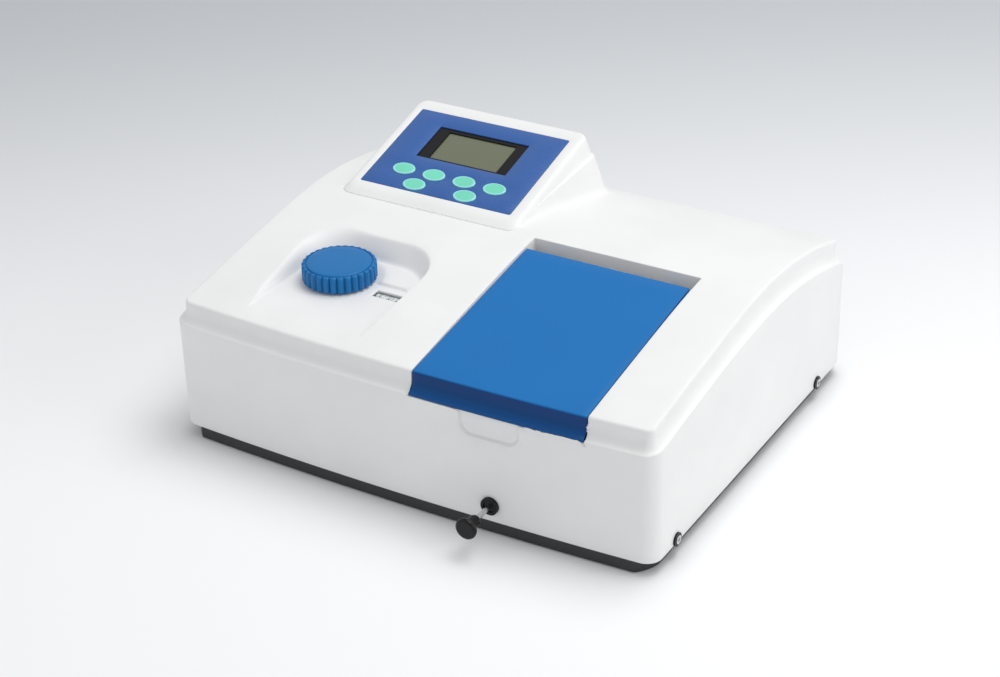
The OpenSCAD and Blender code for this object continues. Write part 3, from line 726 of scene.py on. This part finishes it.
# ------------------------------------------------------------------ display housing
FACE_TILT = math.radians(14.2)
FACE_ORIGIN = np.array((-180.5, 218.0, 164.35))
FACE_X = np.array((1.0, 0.0, 0.0))
FACE_Y = np.array((0.0, math.cos(FACE_TILT), math.sin(FACE_TILT)))
FACE_N = np.array((0.0, -math.sin(FACE_TILT), math.cos(FACE_TILT)))
HOOD_BASE_Z = 130.0
HOOD_FACE_R = 4.0
HOOD_FRONT_PUSH = 6.5
HOOD_STEP = 2.4
HOOD_STEP_AT = 0.33
HOOD_FOOT = (-198, 204, 8, 350)
FACE_X0, FACE_Y0, FACE_X1, FACE_Y1 = -9.5, -8.0, 168.0, 127.0
FACE_CORNER_R = 10.0


def on_face(x, y, z=0.0):
    return FACE_ORIGIN + FACE_X * x + FACE_Y * y + FACE_N * z


def to_face(point):
    """A place (x, depth, z) to the display face's own x, y and height."""
    d = np.array(point) - FACE_ORIGIN
    return float(d @ FACE_X), float(d @ FACE_Y), float(d @ FACE_N)


def bezier(a, b, c, t):
    return a * (1 - t) ** 2 + b * 2 * t * (1 - t) + c * t * t


def top_distance(edge, down, reach):
    """How far from edge along down the wall meets the case's top, by halving."""
    low, high = 0.0, reach
    for _ in range(30):
        mid = (low + high) / 2
        p = edge + down * mid
        if p[2] > top_z(p[1]):
            low = mid
        else:
            high = mid
    return low


def on_top(point, drop=0.0):
    return np.array((point[0], point[1], top_z(point[1]) - drop))


def hood_column(foot, edge, start, out):
    """Points from the flat face at start over its edge and down the wall onto the top. The wall
    aims at foot, and out points away from the housing."""
    reach = float(np.linalg.norm(foot - edge))
    down = (foot - edge) / reach
    meeting = edge + down * top_distance(edge, down, reach)
    # the front is pushed forward into a soft slope, and the tall walls step out once
    corner = on_top(meeting + out * HOOD_FRONT_PUSH * smoothstep(-out[1]))
    reach = float(np.linalg.norm(corner - edge))
    down = (corner - edge) / reach
    step = HOOD_STEP * smoothstep((reach - 8) / 22)
    corner = on_top(corner + out * step)
    # 1 on the right side, where a soft fillet joins the top, 0 where a groove runs round
    soft = smoothstep((out[0] - 0.05) / 0.75)
    column = [bezier(start, edge, edge + down * HOOD_FACE_R, t / 6) for t in range(7)]
    wall_end = reach - lerp(1.2, min(7.0, reach * 0.45), soft)
    for t in (0.18, 0.30, 0.32, 0.335, 0.35, 0.37, 0.6, 0.8, 1.0):
        ledge = step * smoothstep((t - HOOD_STEP_AT + 0.025) / 0.05)
        along_wall = lerp(HOOD_FACE_R, max(wall_end, HOOD_FACE_R + 0.3), t)
        column.append(edge + down * along_wall + out * ledge)
    last_wall = column[-1]
    fillet_out = lerp(2.4, 7.0, soft)
    groove = [corner + down * 0.5]
    groove += [on_top(corner + out * far, drop)
               for far, drop in ((0.35, 1.1), (1.1, 1.1), (1.7, 0.35), (2.1, 0.05))]
    landing = on_top(corner + out * fillet_out)
    fillet = [bezier(last_wall, corner, landing, t) for t in (0.2, 0.4, 0.6, 0.8, 0.93)]
    column += [lerp(g, f, soft) for g, f in zip(groove, fillet)]
    return column + [on_top(corner + out * (fillet_out + 0.4))]


def hood_rings():
    """Rings of the display housing, from the edge of its flat face out to the case's top."""
    base = rounded_rect(*HOOD_FOOT, 16, 26, 12)
    face = rounded_rect(FACE_X0, FACE_Y0, FACE_X1, FACE_Y1, FACE_CORNER_R, 26, 12)
    inner = rounded_rect(FACE_X0 + HOOD_FACE_R, FACE_Y0 + HOOD_FACE_R, FACE_X1 - HOOD_FACE_R,
                         FACE_Y1 - HOOD_FACE_R, FACE_CORNER_R - HOOD_FACE_R, 26, 12)
    columns = []
    for i, (x, d) in enumerate(base):
        before, after = np.array(base[i - 1]), np.array(base[(i + 1) % len(base)])
        along = (after - before) / np.linalg.norm(after - before)
        out = np.array((along[1], -along[0], 0.0))
        foot = np.array((x, d, HOOD_BASE_Z))
        columns.append(hood_column(foot, on_face(*face[i]), on_face(*inner[i]), out))
    return [list(row) for row in zip(*columns)]


# ------------------------------------------------------------------ the white shell
def grid_points(x0, x1, y0, y1, step):
    """Slightly staggered points that fill a patch."""
    out = []
    rows = int((y1 - y0) / step)
    for r in range(rows + 1):
        y = lerp(y0, y1, r / rows)
        shift = step / 2 if r % 2 else 0.0
        x = x0 + shift
        while x <= x1:
            out.append((x, y))
            x += step
    return out


def clear_of(points, chains, distance):
    """Points that stay at least a distance away from every chain's points."""
    fixed = np.array([p[:2] for c in chains for p in c], float)
    keep = []
    for p in points:
        gap = np.min(np.hypot(fixed[:, 0] - p[0], fixed[:, 1] - p[1]))
        if gap > distance:
            keep.append(p)
    return keep


def profile_normal(column, i):
    """Outward normal of a wall's profile at its point i."""
    t = np.array(column[min(i + 1, len(column) - 1)]) - np.array(column[max(i - 1, 0)])
    n = np.array((0.0, -t[2], t[1]))
    n /= max(np.linalg.norm(n), 1e-9)
    return n if n[2] - n[1] > 0 else -n


def opening_corner(centre_x, centre_depth, start, end):
    """A back corner of the opening, as (x, depth, direction into the opening)."""
    return [(x, d, ((centre_x - x) / OPEN_CORNER_R, (centre_depth - d) / OPEN_CORNER_R))
            for x, d in arc(centre_x, centre_depth, OPEN_CORNER_R, start, end, 6)]


def opening_chain(left, right):
    """The edge of the lid's opening: up the front profile on the left, round the back, and down
    the profile on the right. Each entry is (point, direction into the opening, surface normal)."""
    start_d = left[-1][1]
    back = OPEN_BACK + OPEN_EDGE
    turn_d = back - OPEN_CORNER_R
    turn_x0, turn_x1 = CUT_X0 + OPEN_CORNER_R, CUT_X1 - OPEN_CORNER_R
    plan = [(CUT_X0, d, (1, 0)) for d in spread(start_d, turn_d, 46)[1:]]
    plan += opening_corner(turn_x0, turn_d, 180, 90)
    plan += [(x, back, (0, -1)) for x in spread(turn_x0, turn_x1, 30)]
    plan += opening_corner(turn_x1, turn_d, 90, 0)
    plan += [(CUT_X1, d, (-1, 0)) for d in spread(turn_d, start_d, 46)]
    rightward, up = np.array((1.0, 0.0, 0.0)), np.array((0.0, 0.0, 1.0))
    chain = [(np.array(q), rightward, profile_normal(left, i)) for i, q in enumerate(left)]
    chain += [(on_top((x, d)), np.array((*into, 0.0)), up) for x, d, into in plan]
    chain += [(np.array(q), -rightward, profile_normal(right, i)) for i, q in enumerate(right)]
    return chain


def lid_opening(mesh, upper):
    """Rounded edge, side walls and hinge recess. Returns the edge's points on the case's top."""
    left = [row[CUT_0] for row in upper][::-1]
    right = [row[CUT_1] for row in upper]
    chain = opening_chain(left, right)
    rows = []
    for i in range(5):
        a = math.radians(22.5 * i)
        rows.append([p + into * OPEN_EDGE * math.sin(a) - n * OPEN_EDGE * (1 - math.cos(a))
                     for p, into, n in chain])
    wall_low = []
    for i, (p, into, n) in enumerate(chain):
        q = rows[-1][i]
        if i < len(left) or i >= len(chain) - len(right):
            wall_low.append(np.array((q[0], 4.5, min(q[2], 114.0))))
        elif q[1] > LID_BACK - RECESS_AHEAD:
            wall_low.append(np.array((q[0], q[1], RECESS_Z)))
        else:
            wall_low.append(np.array((q[0], q[1], lid_z(q[1]) - 13)))
    mesh.strip(rows + [[lerp(a, b, 0.5) for a, b in zip(rows[-1], wall_low)], wall_low])
    recess_end = LID_BACK - RECESS_AHEAD
    spots = [(d, RECESS_Z) for d in (OPEN_BACK, 195.0, 188.0, recess_end)]
    mesh.strip([[(x, d, z) for x in spread(OPEN_X0, OPEN_X1, 20) + [OPEN_X1]]
                for d, z in spots + [(recess_end, RECESS_Z - 3)]])
    return [tuple(p) for p, _, _ in chain[len(left):len(chain) - len(right)]]


def top_sheet(mesh, boundary, hood_edge):
    """The arched top with the knob pocket, round the display housing and the counter's slot."""
    pocket = pocket_rings()
    slot = rounded_rect(SLOT_X0 - 0.5, SLOT_D0 - 0.5, SLOT_X1 + 0.5, SLOT_D1 + 0.5, 1.2, 10, 4)
    ledge = [([(x, LEDGE_DEPTH + s) for x in spread(-96, -59, 14)], False)
             for s in (-1.6, -0.8, 0.0, 0.8, 1.6)]
    lines = [(row, True) for row in pocket] + ledge
    rim = [p[:2] for p in pocket[-1]]
    foot = [p[:2] for p in pocket[0]]
    coarse = grid_points(-218, 218, 0, 362, 7.0)
    coarse = [p for p, hit in zip(coarse, inside_all(rim, coarse)) if not hit]
    fine = grid_points(-170, -50, 8, 145, 4.0)
    fine = [p for p, hit in zip(fine, inside_all(foot, fine)) if hit]
    chains = [boundary, hood_edge, slot] + [c for c, _ in lines]
    loose = clear_of(coarse, chains, 3.4) + clear_of(fine, chains, 1.5)

    def lift(x, d, z):
        if z is None:
            z = pocket_floor_height(x, d) if inside(foot, x, d) else top_z(d)
        return x, d, z

    mesh.patch(boundary, [hood_edge, slot], lines, loose, lift)
    return slot


def counter_slot(mesh, slot):
    """Rounded edge and wall of the slot over the counter."""
    slot_rows = [[(x, d, pocket_floor_height(x, d)) for x, d in slot]]
    for grow, drop in ((0.35, 0.06), (0.15, 0.2), (0.0, 0.5), (0.0, 3.0)):
        loop = rounded_rect(SLOT_X0 - grow, SLOT_D0 - grow, SLOT_X1 + grow, SLOT_D1 + grow, 1.0,
                            10, 4)
        slot_rows.append([(x, d, pocket_floor_height(x, d) - drop) for x, d in loop])
    mesh.strip(slot_rows, closed=True)


PANEL_W, PANEL_H = 156.7, 111.5


def face_hood(mesh, edge):
    """The housing's flat face, the keypad's recess in it and the ledge under the keypad."""
    outer = [to_face(p)[:2] for p in edge]
    hole = rounded_rect(-0.35, -0.35, PANEL_W + 0.35, PANEL_H + 0.35, 2.3, 24, 5)
    mesh.patch(outer, [hole], [], [], lambda x, y, z: on_face(x, y))
    rows = [[on_face(x, y) for x, y in hole]]
    for grow, drop in ((0.15, 0.08), (0.05, 0.22), (0.05, 1.0), (-5.0, 1.0)):
        loop = rounded_rect(-grow, -grow, PANEL_W + grow, PANEL_H + grow, 2.0, 24, 5)
        rows.append([on_face(x, y, -drop) for x, y in loop])
    mesh.strip(rows, closed=True)


SKIRT_LEVELS = 12
FOOT_R = 1.0
SHEET_X, SHEET_Z0, SHEET_STEP = 212, SKIRT_Z + 6, 9.0
ROD_BORE_R, ROD_SEAT_R = 7.0, 10.5
REAR_OPENING = (44, 30, 196, 74)
VENTS, VENT_X, VENT_PITCH, VENT_W = 10, -190, 14, 6
VENT_Z0, VENT_Z1 = 40, 90


def wall_column(lip_row, i):
    """Points down the wall below one point of the lip."""
    x, d, z = lip_row[i % len(lip_row)]
    return [(x, d, lerp(z, SKIRT_Z + FOOT_R, k / SKIRT_LEVELS)) for k in range(SKIRT_LEVELS + 1)]


def front_point(x, z):
    return x, front_depth(x) + finger_dent(x, z), z


def skirt_front(mesh, lip_row):
    """Bowed front sheet with the finger recess and the pull rod's bore."""
    top = [(x, z) for x, _, z in lip_row[:FRONT_COUNT]]
    left = [(x, z) for x, _, z in wall_column(lip_row, 0)]
    right = [(x, z) for x, _, z in wall_column(lip_row, FRONT_COUNT - 1)]
    bottom = [(x, SKIRT_Z + FOOT_R) for x in FRONT_XS]
    boundary = bottom[:-1] + right[::-1][:-1] + top[::-1][:-1] + left[:-1]
    bore = arc(LANE_X, ROD_Z, ROD_BORE_R, 0, 360, 28)
    seat = arc(LANE_X, ROD_Z, ROD_SEAT_R, 0, 360, 32)
    rings = [(seat, True)]
    rings += [(finger_line(inset), False) for inset in (-0.7, -0.2, 0.3, 0.8, 1.5, 2.4)]
    chains = [boundary, bore, seat] + [c for c, _ in rings]
    loose = clear_of(grid_points(-SHEET_X, SHEET_X, SHEET_Z0, 104, SHEET_STEP), chains, 3.0)
    mesh.patch(boundary, [bore], rings, loose, lambda x, z, _: front_point(x, z))
    mesh.strip([[front_point(x, z) for x, z in bore],
                [(x, front_depth(x) + WALL, z) for x, z in bore]], closed=True)

    # sill under the lid's flange; the first row is the lip's own edge
    open_row = lip_row[CUT_0:CUT_1 + 1]
    sill_rows = [[(x, front_depth(x) + finger_dent(x, 106.0), z) for x, _, z in open_row]]
    for inset, drop, dented in ((0.0, 0.6, 1), (0.2, 0.15, 1), (0.7, 0, 1), (4.5, 0, 0), (4.5, 4, 0)):
        sill_rows.append([(x, front_depth(x, inset) + finger_dent(x, 106.0) * dented,
                           NOTCH_Z - drop) for x, _, _ in open_row])
    mesh.strip(sill_rows)


def skirt_back(mesh, lip_row):
    """Back sheet with the opening for the rear panel and the vent slots."""
    back = lip_row[BACK_START:BACK_END + 1]
    left = [(x, z) for x, _, z in wall_column(lip_row, BACK_START)]
    right = [(x, z) for x, _, z in wall_column(lip_row, BACK_END)]
    top = [(x, z) for x, _, z in back]
    bottom = [(x, SKIRT_Z + FOOT_R) for x, _, _ in back]
    boundary = top[:-1] + right[:-1] + bottom[::-1][:-1] + left[::-1][:-1]
    holes = [rounded_rect(*REAR_OPENING, 3, 10, 5)]
    for i in range(VENTS):
        x = VENT_X + i * VENT_PITCH
        holes.append(rounded_rect(x, VENT_Z0, x + VENT_W, VENT_Z1, 2.9, 6, 5))
    grid = grid_points(-SHEET_X, SHEET_X, SHEET_Z0, 112, SHEET_STEP)
    loose = clear_of(grid, [boundary] + holes, 3.5)
    mesh.patch(boundary, holes, [], loose, lambda x, z, _: (x, CASE_D, z))


def skirt(mesh, lip_row):
    """Walls below the lip: plain strips at the sides, shaped sheets at the front and back."""
    for first, last in ((RIGHT_START, BACK_START), (BACK_END, len(lip_row))):
        mesh.strip([wall_column(lip_row, i) for i in range(first, last + 1)])
    skirt_front(mesh, lip_row)
    skirt_back(mesh, lip_row)
    rows = [[(x, d, SKIRT_Z + FOOT_R) for x, d, _ in lip_row],
            [(x, d, SKIRT_Z + FOOT_R * 0.3) for x, d in outline(FOOT_R * 0.3)],
            [(x, d, SKIRT_Z) for x, d in outline(FOOT_R)]]
    mesh.strip(rows, closed=True)


def white_shell():
    """The upper moulding, from the top's edge inwards and then down to its foot."""
    mesh = Mesh()
    upper = [ring(*step) for step in upper_profile()]
    mesh.strip(upper, closed=True, skip=range(CUT_0, CUT_1))
    opening_edge = lid_opening(mesh, upper)
    boundary = upper[0][CUT_1:] + upper[0][:CUT_0 + 1] + opening_edge
    hood = hood_rings()
    slot = top_sheet(mesh, boundary, hood[-1])
    mesh.strip(hood, closed=True)
    face_hood(mesh, hood[0])
    counter_slot(mesh, slot)
    skirt(mesh, upper[-1])
    return mesh.build("upper_shell_moulding", thickness=WALL)


finish_piece(white_shell(), "case", "case_white", ["upper_shell"])


# ------------------------------------------------------------------ sample lid
LID_T = 3.0
LID_BEND = 1.8
LID_TAPER = 2.6
RIB_W, RIB_H = 2.0, 9.0
RIB_FRONT, RIB_BACK = 8.0, LID_BACK - 4
FLANGE_LOW = NOTCH_Z + 0.4
FLANGE_T = 2.6
HINGE_DEPTH = 189.0
HINGE_Z = 147.0
EAR_XS = (34.0, 146.0)
EAR_W = 8.0
EAR_FRONT = HINGE_DEPTH - 9
EAR_R = 5.0
EAR_BORE_R = 2.05


def lid_section(x):
    """Closed section of the lid at x: top, bend and flange, then the inside back again."""
    front = front_depth(x, SHOULDER)
    inner_front = front_depth(x, SHOULDER + LID_T + LID_BEND)
    pts = [(d, lid_z(d)) for d in spread(LID_BACK, front + LID_BEND, 16)]
    bend = [np.array(p) for p in ((front + LID_BEND, lid_z(front + LID_BEND)),
                                  (front, lid_z(front)), (front, lid_z(front) - LID_BEND))]
    pts += [tuple(bezier(*bend, t / 5)) for t in range(6)]
    flange = cove_curve(0.8, SHOULDER, 113.0, 9.0)
    flange += [(0.35, 112.5), (0.1, 111.7), (0.1, FLANGE_LOW)]
    flange += [(0.1 + FLANGE_T, FLANGE_LOW), (0.1 + FLANGE_T, 112.5)]
    flange += cove_curve(0.8 + FLANGE_T, SHOULDER + FLANGE_T, 114.5, 9.0)[::-1]
    flange.append((SHOULDER + FLANGE_T, lid_z(front) - LID_T - LID_BEND))
    pts += [(front_depth(x, inset), z) for inset, z in flange]
    pts += [(d, lid_z(d) - LID_T) for d in spread(inner_front, LID_BACK, 16) + [LID_BACK]]
    shift = LID_TAPER * (x - LID_X0) / (LID_X1 - LID_X0)
    return [(x - shift * max(d, 0) / LID_BACK, d, z) for d, z in pts]


def prism(name, outline_points, x0, x1, round_edges=0.0):
    """Solid with a flat outline of (depth, z), from x0 to x1."""
    mesh = Mesh()
    mesh.sweep([[(x, d, z) for d, z in outline_points] for x in (x0, x1)])
    return mesh.build(name, round_edges=round_edges)


def sample_lid():
    """The lid; its tint, which paints shade on the flange, is 0 on top, 1 at the top of the flange and
    a little less at its foot.
    """
    mesh = Mesh()
    mesh.sweep([lid_section(x) for x in spread(LID_X0, LID_X1, 24) + [LID_X1]])
    # painted shade: the flange is darkened, a little less towards its foot
    mesh.tints = [smoothstep((lid_z(7) - 0.4 - z) / 1.4) - 0.22 * smoothstep((124 - z) / 12)
                  for _, _, z in mesh.points]
    lid = mesh.build("sample_lid_moulding", round_edges=0.5)
    for x in (LID_X0 + 0.4, LID_X1 - LID_TAPER - 0.3 - RIB_W):
        rib = [(d, lid_z(d) - drop) for d, drop in ((RIB_FRONT, RIB_H), (RIB_BACK, RIB_H),
                                                    (RIB_BACK, 1), (RIB_FRONT, 1))]
        cut_or_join(lid, prism("rib", rib, x, x + RIB_W, 0.4), "UNION")
    ear = [(EAR_FRONT, HINGE_Z - 3)] + arc(HINGE_DEPTH, HINGE_Z, EAR_R, -108, 70, 14)
    ear += [(LID_BACK - 0.5, lid_z(LID_BACK) - 1.2), (EAR_FRONT, lid_z(EAR_FRONT) - 1.2)]
    for x in EAR_XS:
        cut_or_join(lid, prism("ear", ear, x - EAR_W / 2, x + EAR_W / 2, 0.3), "UNION")
        bore = arc(HINGE_DEPTH, HINGE_Z, EAR_BORE_R, 0, 360, 32)
        cut_or_join(lid, prism("bore", bore, x - EAR_W, x + EAR_W), "DIFFERENCE")
    lid.data.shade_smooth()
    lid.data.set_sharp_from_angle(angle=math.radians(32))
    return lid


finish_piece(sample_lid(), "lid", "lid_blue", ["sample_lid"])

# ------------------------------------------------------------------ wavelength knob
FLUTES = 30
FLUTE_DEPTH = 2.4
FLUTE_COLUMNS = 12
KNOB_RIM = 4.4


def wavelength_knob():
    """Fluted knob with a blind bore, a raised rim and a crowned disc inside a fine groove."""
    r, z0, z1 = DIAL_R, dial_low[2], dial_high[2]
    shaft_low, shaft_high = box_mm("wavelength_shaft")
    bore_r = (shaft_high[0] - shaft_low[0]) / 2
    disc = r - KNOB_RIM
    # (radius, share of the flutes' depth, height)
    profile = [(0, 0, z1 - 4), (bore_r, 0, z1 - 4), (bore_r, 0, z0), (bore_r + 4, 0, z0),
               (r - 1.6, 0.5, z0), (r - 0.4, 1, z0 + 0.5), (r, 1, z0 + 1.4), (r, 1, z1 - 3.4),
               (r - 0.15, 1, z1 - 2.6), (r - 0.5, 0.95, z1 - 1.8), (r - 1.1, 0.85, z1 - 1.35),
               (r - 1.8, 0.55, z1 - 1.1), (r - 2.5, 0.2, z1 - 1.05), (disc + 1.3, 0, z1 - 1.15),
               (disc + 1.0, 0, z1 - 2.0), (disc + 0.25, 0, z1 - 2.0), (disc, 0, z1 - 1.2),
               (disc - 0.5, 0, z1 - 0.62), (disc - 1.4, 0, z1 - 0.42), (disc * 0.75, 0, z1 - 0.22),
               (disc * 0.45, 0, z1 - 0.08), (disc * 0.2, 0, z1), (0, 0, z1)]
    count = FLUTES * FLUTE_COLUMNS
    rows = []
    for radius, share, z in profile:
        row = []
        for i in range(count):
            a = 2 * math.pi * i / count
            valley = (1 - abs(math.sin(FLUTES * a / 2))) ** 1.2
            rr = radius - FLUTE_DEPTH * share * valley
            row.append((DIAL_X + rr * math.cos(a), DIAL_DEPTH + rr * math.sin(a), z))
        rows.append(row)
    mesh = Mesh()
    mesh.strip(rows, closed=True)
    return mesh.build("wavelength_knob_moulding", sharp=38)


finish_piece(wavelength_knob(), "knob", "knob_blue", ["wavelength_knob"])

# ------------------------------------------------------------------ keypad
FILM_T = 1.0
VIEW_X0, VIEW_X1 = 31.0, 125.0
VIEW_Y0, VIEW_Y1 = 47.5, 93.0
KEY_LONG, KEY_SHORT = 11.2, 7.7
KEY_GAP = 0.2
KEY_FOOT, KEY_TOP = -2.5, 0.9
KEY_COLUMNS = 64


def ellipse(cx, cy, rx, ry, steps):
    turns = [2 * math.pi * i / steps for i in range(steps)]
    return [(cx + rx * math.cos(a), cy + ry * math.sin(a)) for a in turns]


def key_centre(i):
    low, high = box_mm("key_%d" % i)
    middle = (low + high) / 2
    x, y, _ = to_face((middle[0], depth_of(middle[1]), middle[2]))
    return x, y


def keypad_film():
    """The keypad's film with its window and six holes, each with a softened upper edge."""
    mesh = Mesh()
    edge = rounded_rect(0.2, 0.2, PANEL_W - 0.2, PANEL_H - 0.2, 1.2, 24, 5)
    edge_in = rounded_rect(0.45, 0.45, PANEL_W - 0.45, PANEL_H - 0.45, 1.0, 24, 5)
    holes = [(rounded_rect(VIEW_X0, VIEW_Y0, VIEW_X1, VIEW_Y1, 0.8, 16, 4),
              rounded_rect(VIEW_X0 - 0.2, VIEW_Y0 - 0.2, VIEW_X1 + 0.2, VIEW_Y1 + 0.2, 0.9, 16, 4))]
    for i in range(1, 7):
        cx, cy = key_centre(i)
        holes.append((ellipse(cx, cy, KEY_LONG + KEY_GAP, KEY_SHORT + KEY_GAP, KEY_COLUMNS),
                      ellipse(cx, cy, KEY_LONG + 0.5, KEY_SHORT + 0.5, KEY_COLUMNS)))
    mesh.patch(edge_in, [soft for _, soft in holes], [], [], lambda x, y, z: on_face(x, y, 0.0))
    mesh.patch(edge, [sharp for sharp, _ in holes], [], [], lambda x, y, z: on_face(x, y, -FILM_T))
    for hard, soft in [(edge, edge_in)] + holes:
        rows = [[on_face(x, y, 0.0) for x, y in soft], [on_face(x, y, -0.12) for x, y in hard],
                [on_face(x, y, -FILM_T) for x, y in hard]]
        mesh.strip(rows, closed=True)
    return mesh.build("keypad_film")


def key_cap(i):
    """Oval key with a raised pale rim round a shallow crown."""
    cx, cy = key_centre(i)
    # (share of the oval's size, height, tint: 1 on the rim)
    profile = [(0.0, KEY_FOOT, 0), (1.0, KEY_FOOT, 0), (1.0, KEY_TOP - 0.55, 1),
               (0.99, KEY_TOP - 0.3, 1), (0.965, KEY_TOP - 0.12, 1), (0.93, KEY_TOP - 0.02, 1),
               (0.885, KEY_TOP, 1), (0.84, KEY_TOP - 0.05, 0.7), (0.80, KEY_TOP - 0.14, 0.1),
               (0.70, KEY_TOP - 0.14, 0), (0.45, KEY_TOP - 0.05, 0), (0.2, KEY_TOP, 0),
               (0.0, KEY_TOP, 0)]
    rows = [[on_face(x, y, h) for x, y in ellipse(cx, cy, KEY_LONG * s, KEY_SHORT * s, KEY_COLUMNS)]
            for s, h, _ in profile]
    mesh = Mesh()
    mesh.strip(rows, closed=True, tints=[t for _, _, t in profile])
    return mesh.build("key_cap_%d" % i, sharp=40)


finish_piece(keypad_film(), "case", "membrane_blue", ["keypad_membrane"])
for key in range(1, 7):
    finish_piece(key_cap(key), "button_%d" % key, "key_mint", ["key_%d" % key])

# ------------------------------------------------------------------ figures on the counter
FIGURE_H = 3.9
FIGURE_SKIN = 0.04
FIGURE_MAX_EDGE = 0.6
SHOWN_ANGLE = -26.0


def figure_mesh(digit):
    """A flat, thin digit as a bmesh in metres, with edges short enough to bend."""
    curve = bpy.data.curves.new("figure", "FONT")
    curve.body = str(digit)
    curve.size = FIGURE_H * MM * 1.4
    curve.extrude = FIGURE_SKIN * MM
    curve.align_x = "CENTER"
    curve.align_y = "CENTER"
    holder = bpy.data.objects.new("figure", curve)
    bpy.context.scene.collection.objects.link(holder)
    bpy.context.view_layer.update()
    graph = bpy.context.evaluated_depsgraph_get()
    flat = bpy.data.meshes.new_from_object(holder.evaluated_get(graph))
    bpy.data.objects.remove(holder)
    bm = bmesh.new()
    bm.from_mesh(flat)
    bmesh.ops.remove_doubles(bm, verts=bm.verts, dist=1e-6)
    for _ in range(4):
        bmesh.ops.triangulate(bm, faces=bm.faces)
        long_edges = [e for e in bm.edges if e.calc_length() > FIGURE_MAX_EDGE * MM]
        bmesh.ops.subdivide_edges(bm, edges=long_edges, cuts=1)
    bmesh.ops.triangulate(bm, faces=bm.faces)
    return bm


def wheel_figures(node, name, shown):
    """The figures 0 to 9 round a counter wheel, with the shown one facing the slot at rest."""
    low, high = box_mm(node)
    cx, cy, cz = (low + high) / 2
    r = (high[2] - low[2]) / 2
    mesh = Mesh()
    for digit in range(10):
        bm = figure_mesh(digit)
        start = math.radians(SHOWN_ANGLE + 36 * (digit - shown))
        points = []
        for v in bm.verts:
            turn = start + v.co.y / MM / r
            out = r + FIGURE_SKIN / 2 + v.co.z / MM
            points.append((cx + v.co.x / MM, depth_of(cy) + out * math.sin(turn),
                           cz + out * math.cos(turn)))
        mesh.add(points, [[v.index for v in f.verts] for f in bm.faces])
        bm.free()
    return mesh.build(name, weld=0.001)


for place, shown in (("units", 6), ("tens", 4), ("hundreds", 5)):
    figures = wheel_figures("counter_wheel_" + place, place + "_figures", shown)
    finish_piece(figures, place + "_wheel", "black_plastic")

# ------------------------------------------------------------------ floor, light and camera
CAMERA_PLACE = (0.8588, -1.4162, 1.0096)
CAMERA_YAW, CAMERA_PITCH, CAMERA_ROLL = 0.5475, 0.514, -0.0288
CAMERA_LENS = 79.0
# painted shade: the floor's far colour is a grey that stands in for the light falling off
FLOOR_NEAR, FLOOR_FAR_PAINTED_SHADE = (0.93, 0.935, 0.94), (0.58, 0.603, 0.625)


def floor():
    """Plain pale floor whose colour falls off to a light grey away from the camera, as painted shade.
    """
    bpy.ops.mesh.primitive_plane_add(size=14, location=(0, 0, -0.0002))
    plane = bpy.context.object
    plane.name = "floor"
    n = Nodes("pale_floor")
    away = n.add("ShaderNodeVectorMath", operation="DOT_PRODUCT")
    n.join(n.coords, away, 0)
    away.inputs[1].default_value = (-math.sin(CAMERA_YAW), math.cos(CAMERA_YAW), 0)
    fade = n.add("ShaderNodeMapRange", interpolation_type="SMOOTHSTEP")
    fade.inputs["From Min"].default_value = -0.15
    fade.inputs["From Max"].default_value = 1.1
    n.join(away.outputs["Value"], fade, "Value")
    # painted shade: the floor is greyed away from the camera
    n.set(Base_Color=n.mix(fade.outputs["Result"], FLOOR_NEAR, FLOOR_FAR_PAINTED_SHADE), Roughness=0.62,
          Specular_IOR_Level=0.15)
    plane.data.materials.append(n.material)


LIGHT_TARGET = Vector((0, 0, 0.05))


def area_light(name, place, size, power):
    light = bpy.data.lights.new(name, "AREA")
    light.shape = "RECTANGLE"
    light.size, light.size_y = size
    light.energy = power
    obj = bpy.data.objects.new(name, light)
    obj.location = place
    obj.rotation_euler = (LIGHT_TARGET - Vector(place)).to_track_quat("-Z", "Y").to_euler()
    bpy.context.scene.collection.objects.link(obj)


def camera():
    level = math.cos(CAMERA_PITCH)
    ahead = Vector((-math.sin(CAMERA_YAW) * level, math.cos(CAMERA_YAW) * level,
                    -math.sin(CAMERA_PITCH)))
    flat_right = Vector((math.cos(CAMERA_YAW), math.sin(CAMERA_YAW), 0))
    flat_up = flat_right.cross(ahead)
    right = flat_right * math.cos(CAMERA_ROLL) + flat_up * math.sin(CAMERA_ROLL)
    up = flat_up * math.cos(CAMERA_ROLL) - flat_right * math.sin(CAMERA_ROLL)
    data = bpy.data.cameras.new("camera")
    data.sensor_width = 36
    data.lens = CAMERA_LENS
    data.clip_end = 50
    obj = bpy.data.objects.new("camera", data)
    turn = Matrix((right, up, -ahead)).transposed()
    obj.matrix_world = Matrix.Translation(CAMERA_PLACE) @ turn.to_4x4()
    bpy.context.scene.collection.objects.link(obj)
    bpy.context.scene.camera = obj


floor()
area_light("overhead", (0.5, 0.5, 2.2), (1.6, 1.2), 26.5)
area_light("right_side", (2.2, 0.3, 1.1), (1.4, 1.4), 10.5)
area_light("left_front", (-1.4, -1.8, 1.2), (1.2, 1.2), 2.8)
world = bpy.data.worlds.new("studio")
world.use_nodes = True
world.node_tree.nodes["Background"].inputs["Color"].default_value = (0.97, 0.98, 1.0, 1)
world.node_tree.nodes["Background"].inputs["Strength"].default_value = 0.56
bpy.context.scene.world = world
bpy.context.scene.view_settings.view_transform = "Standard"
camera()
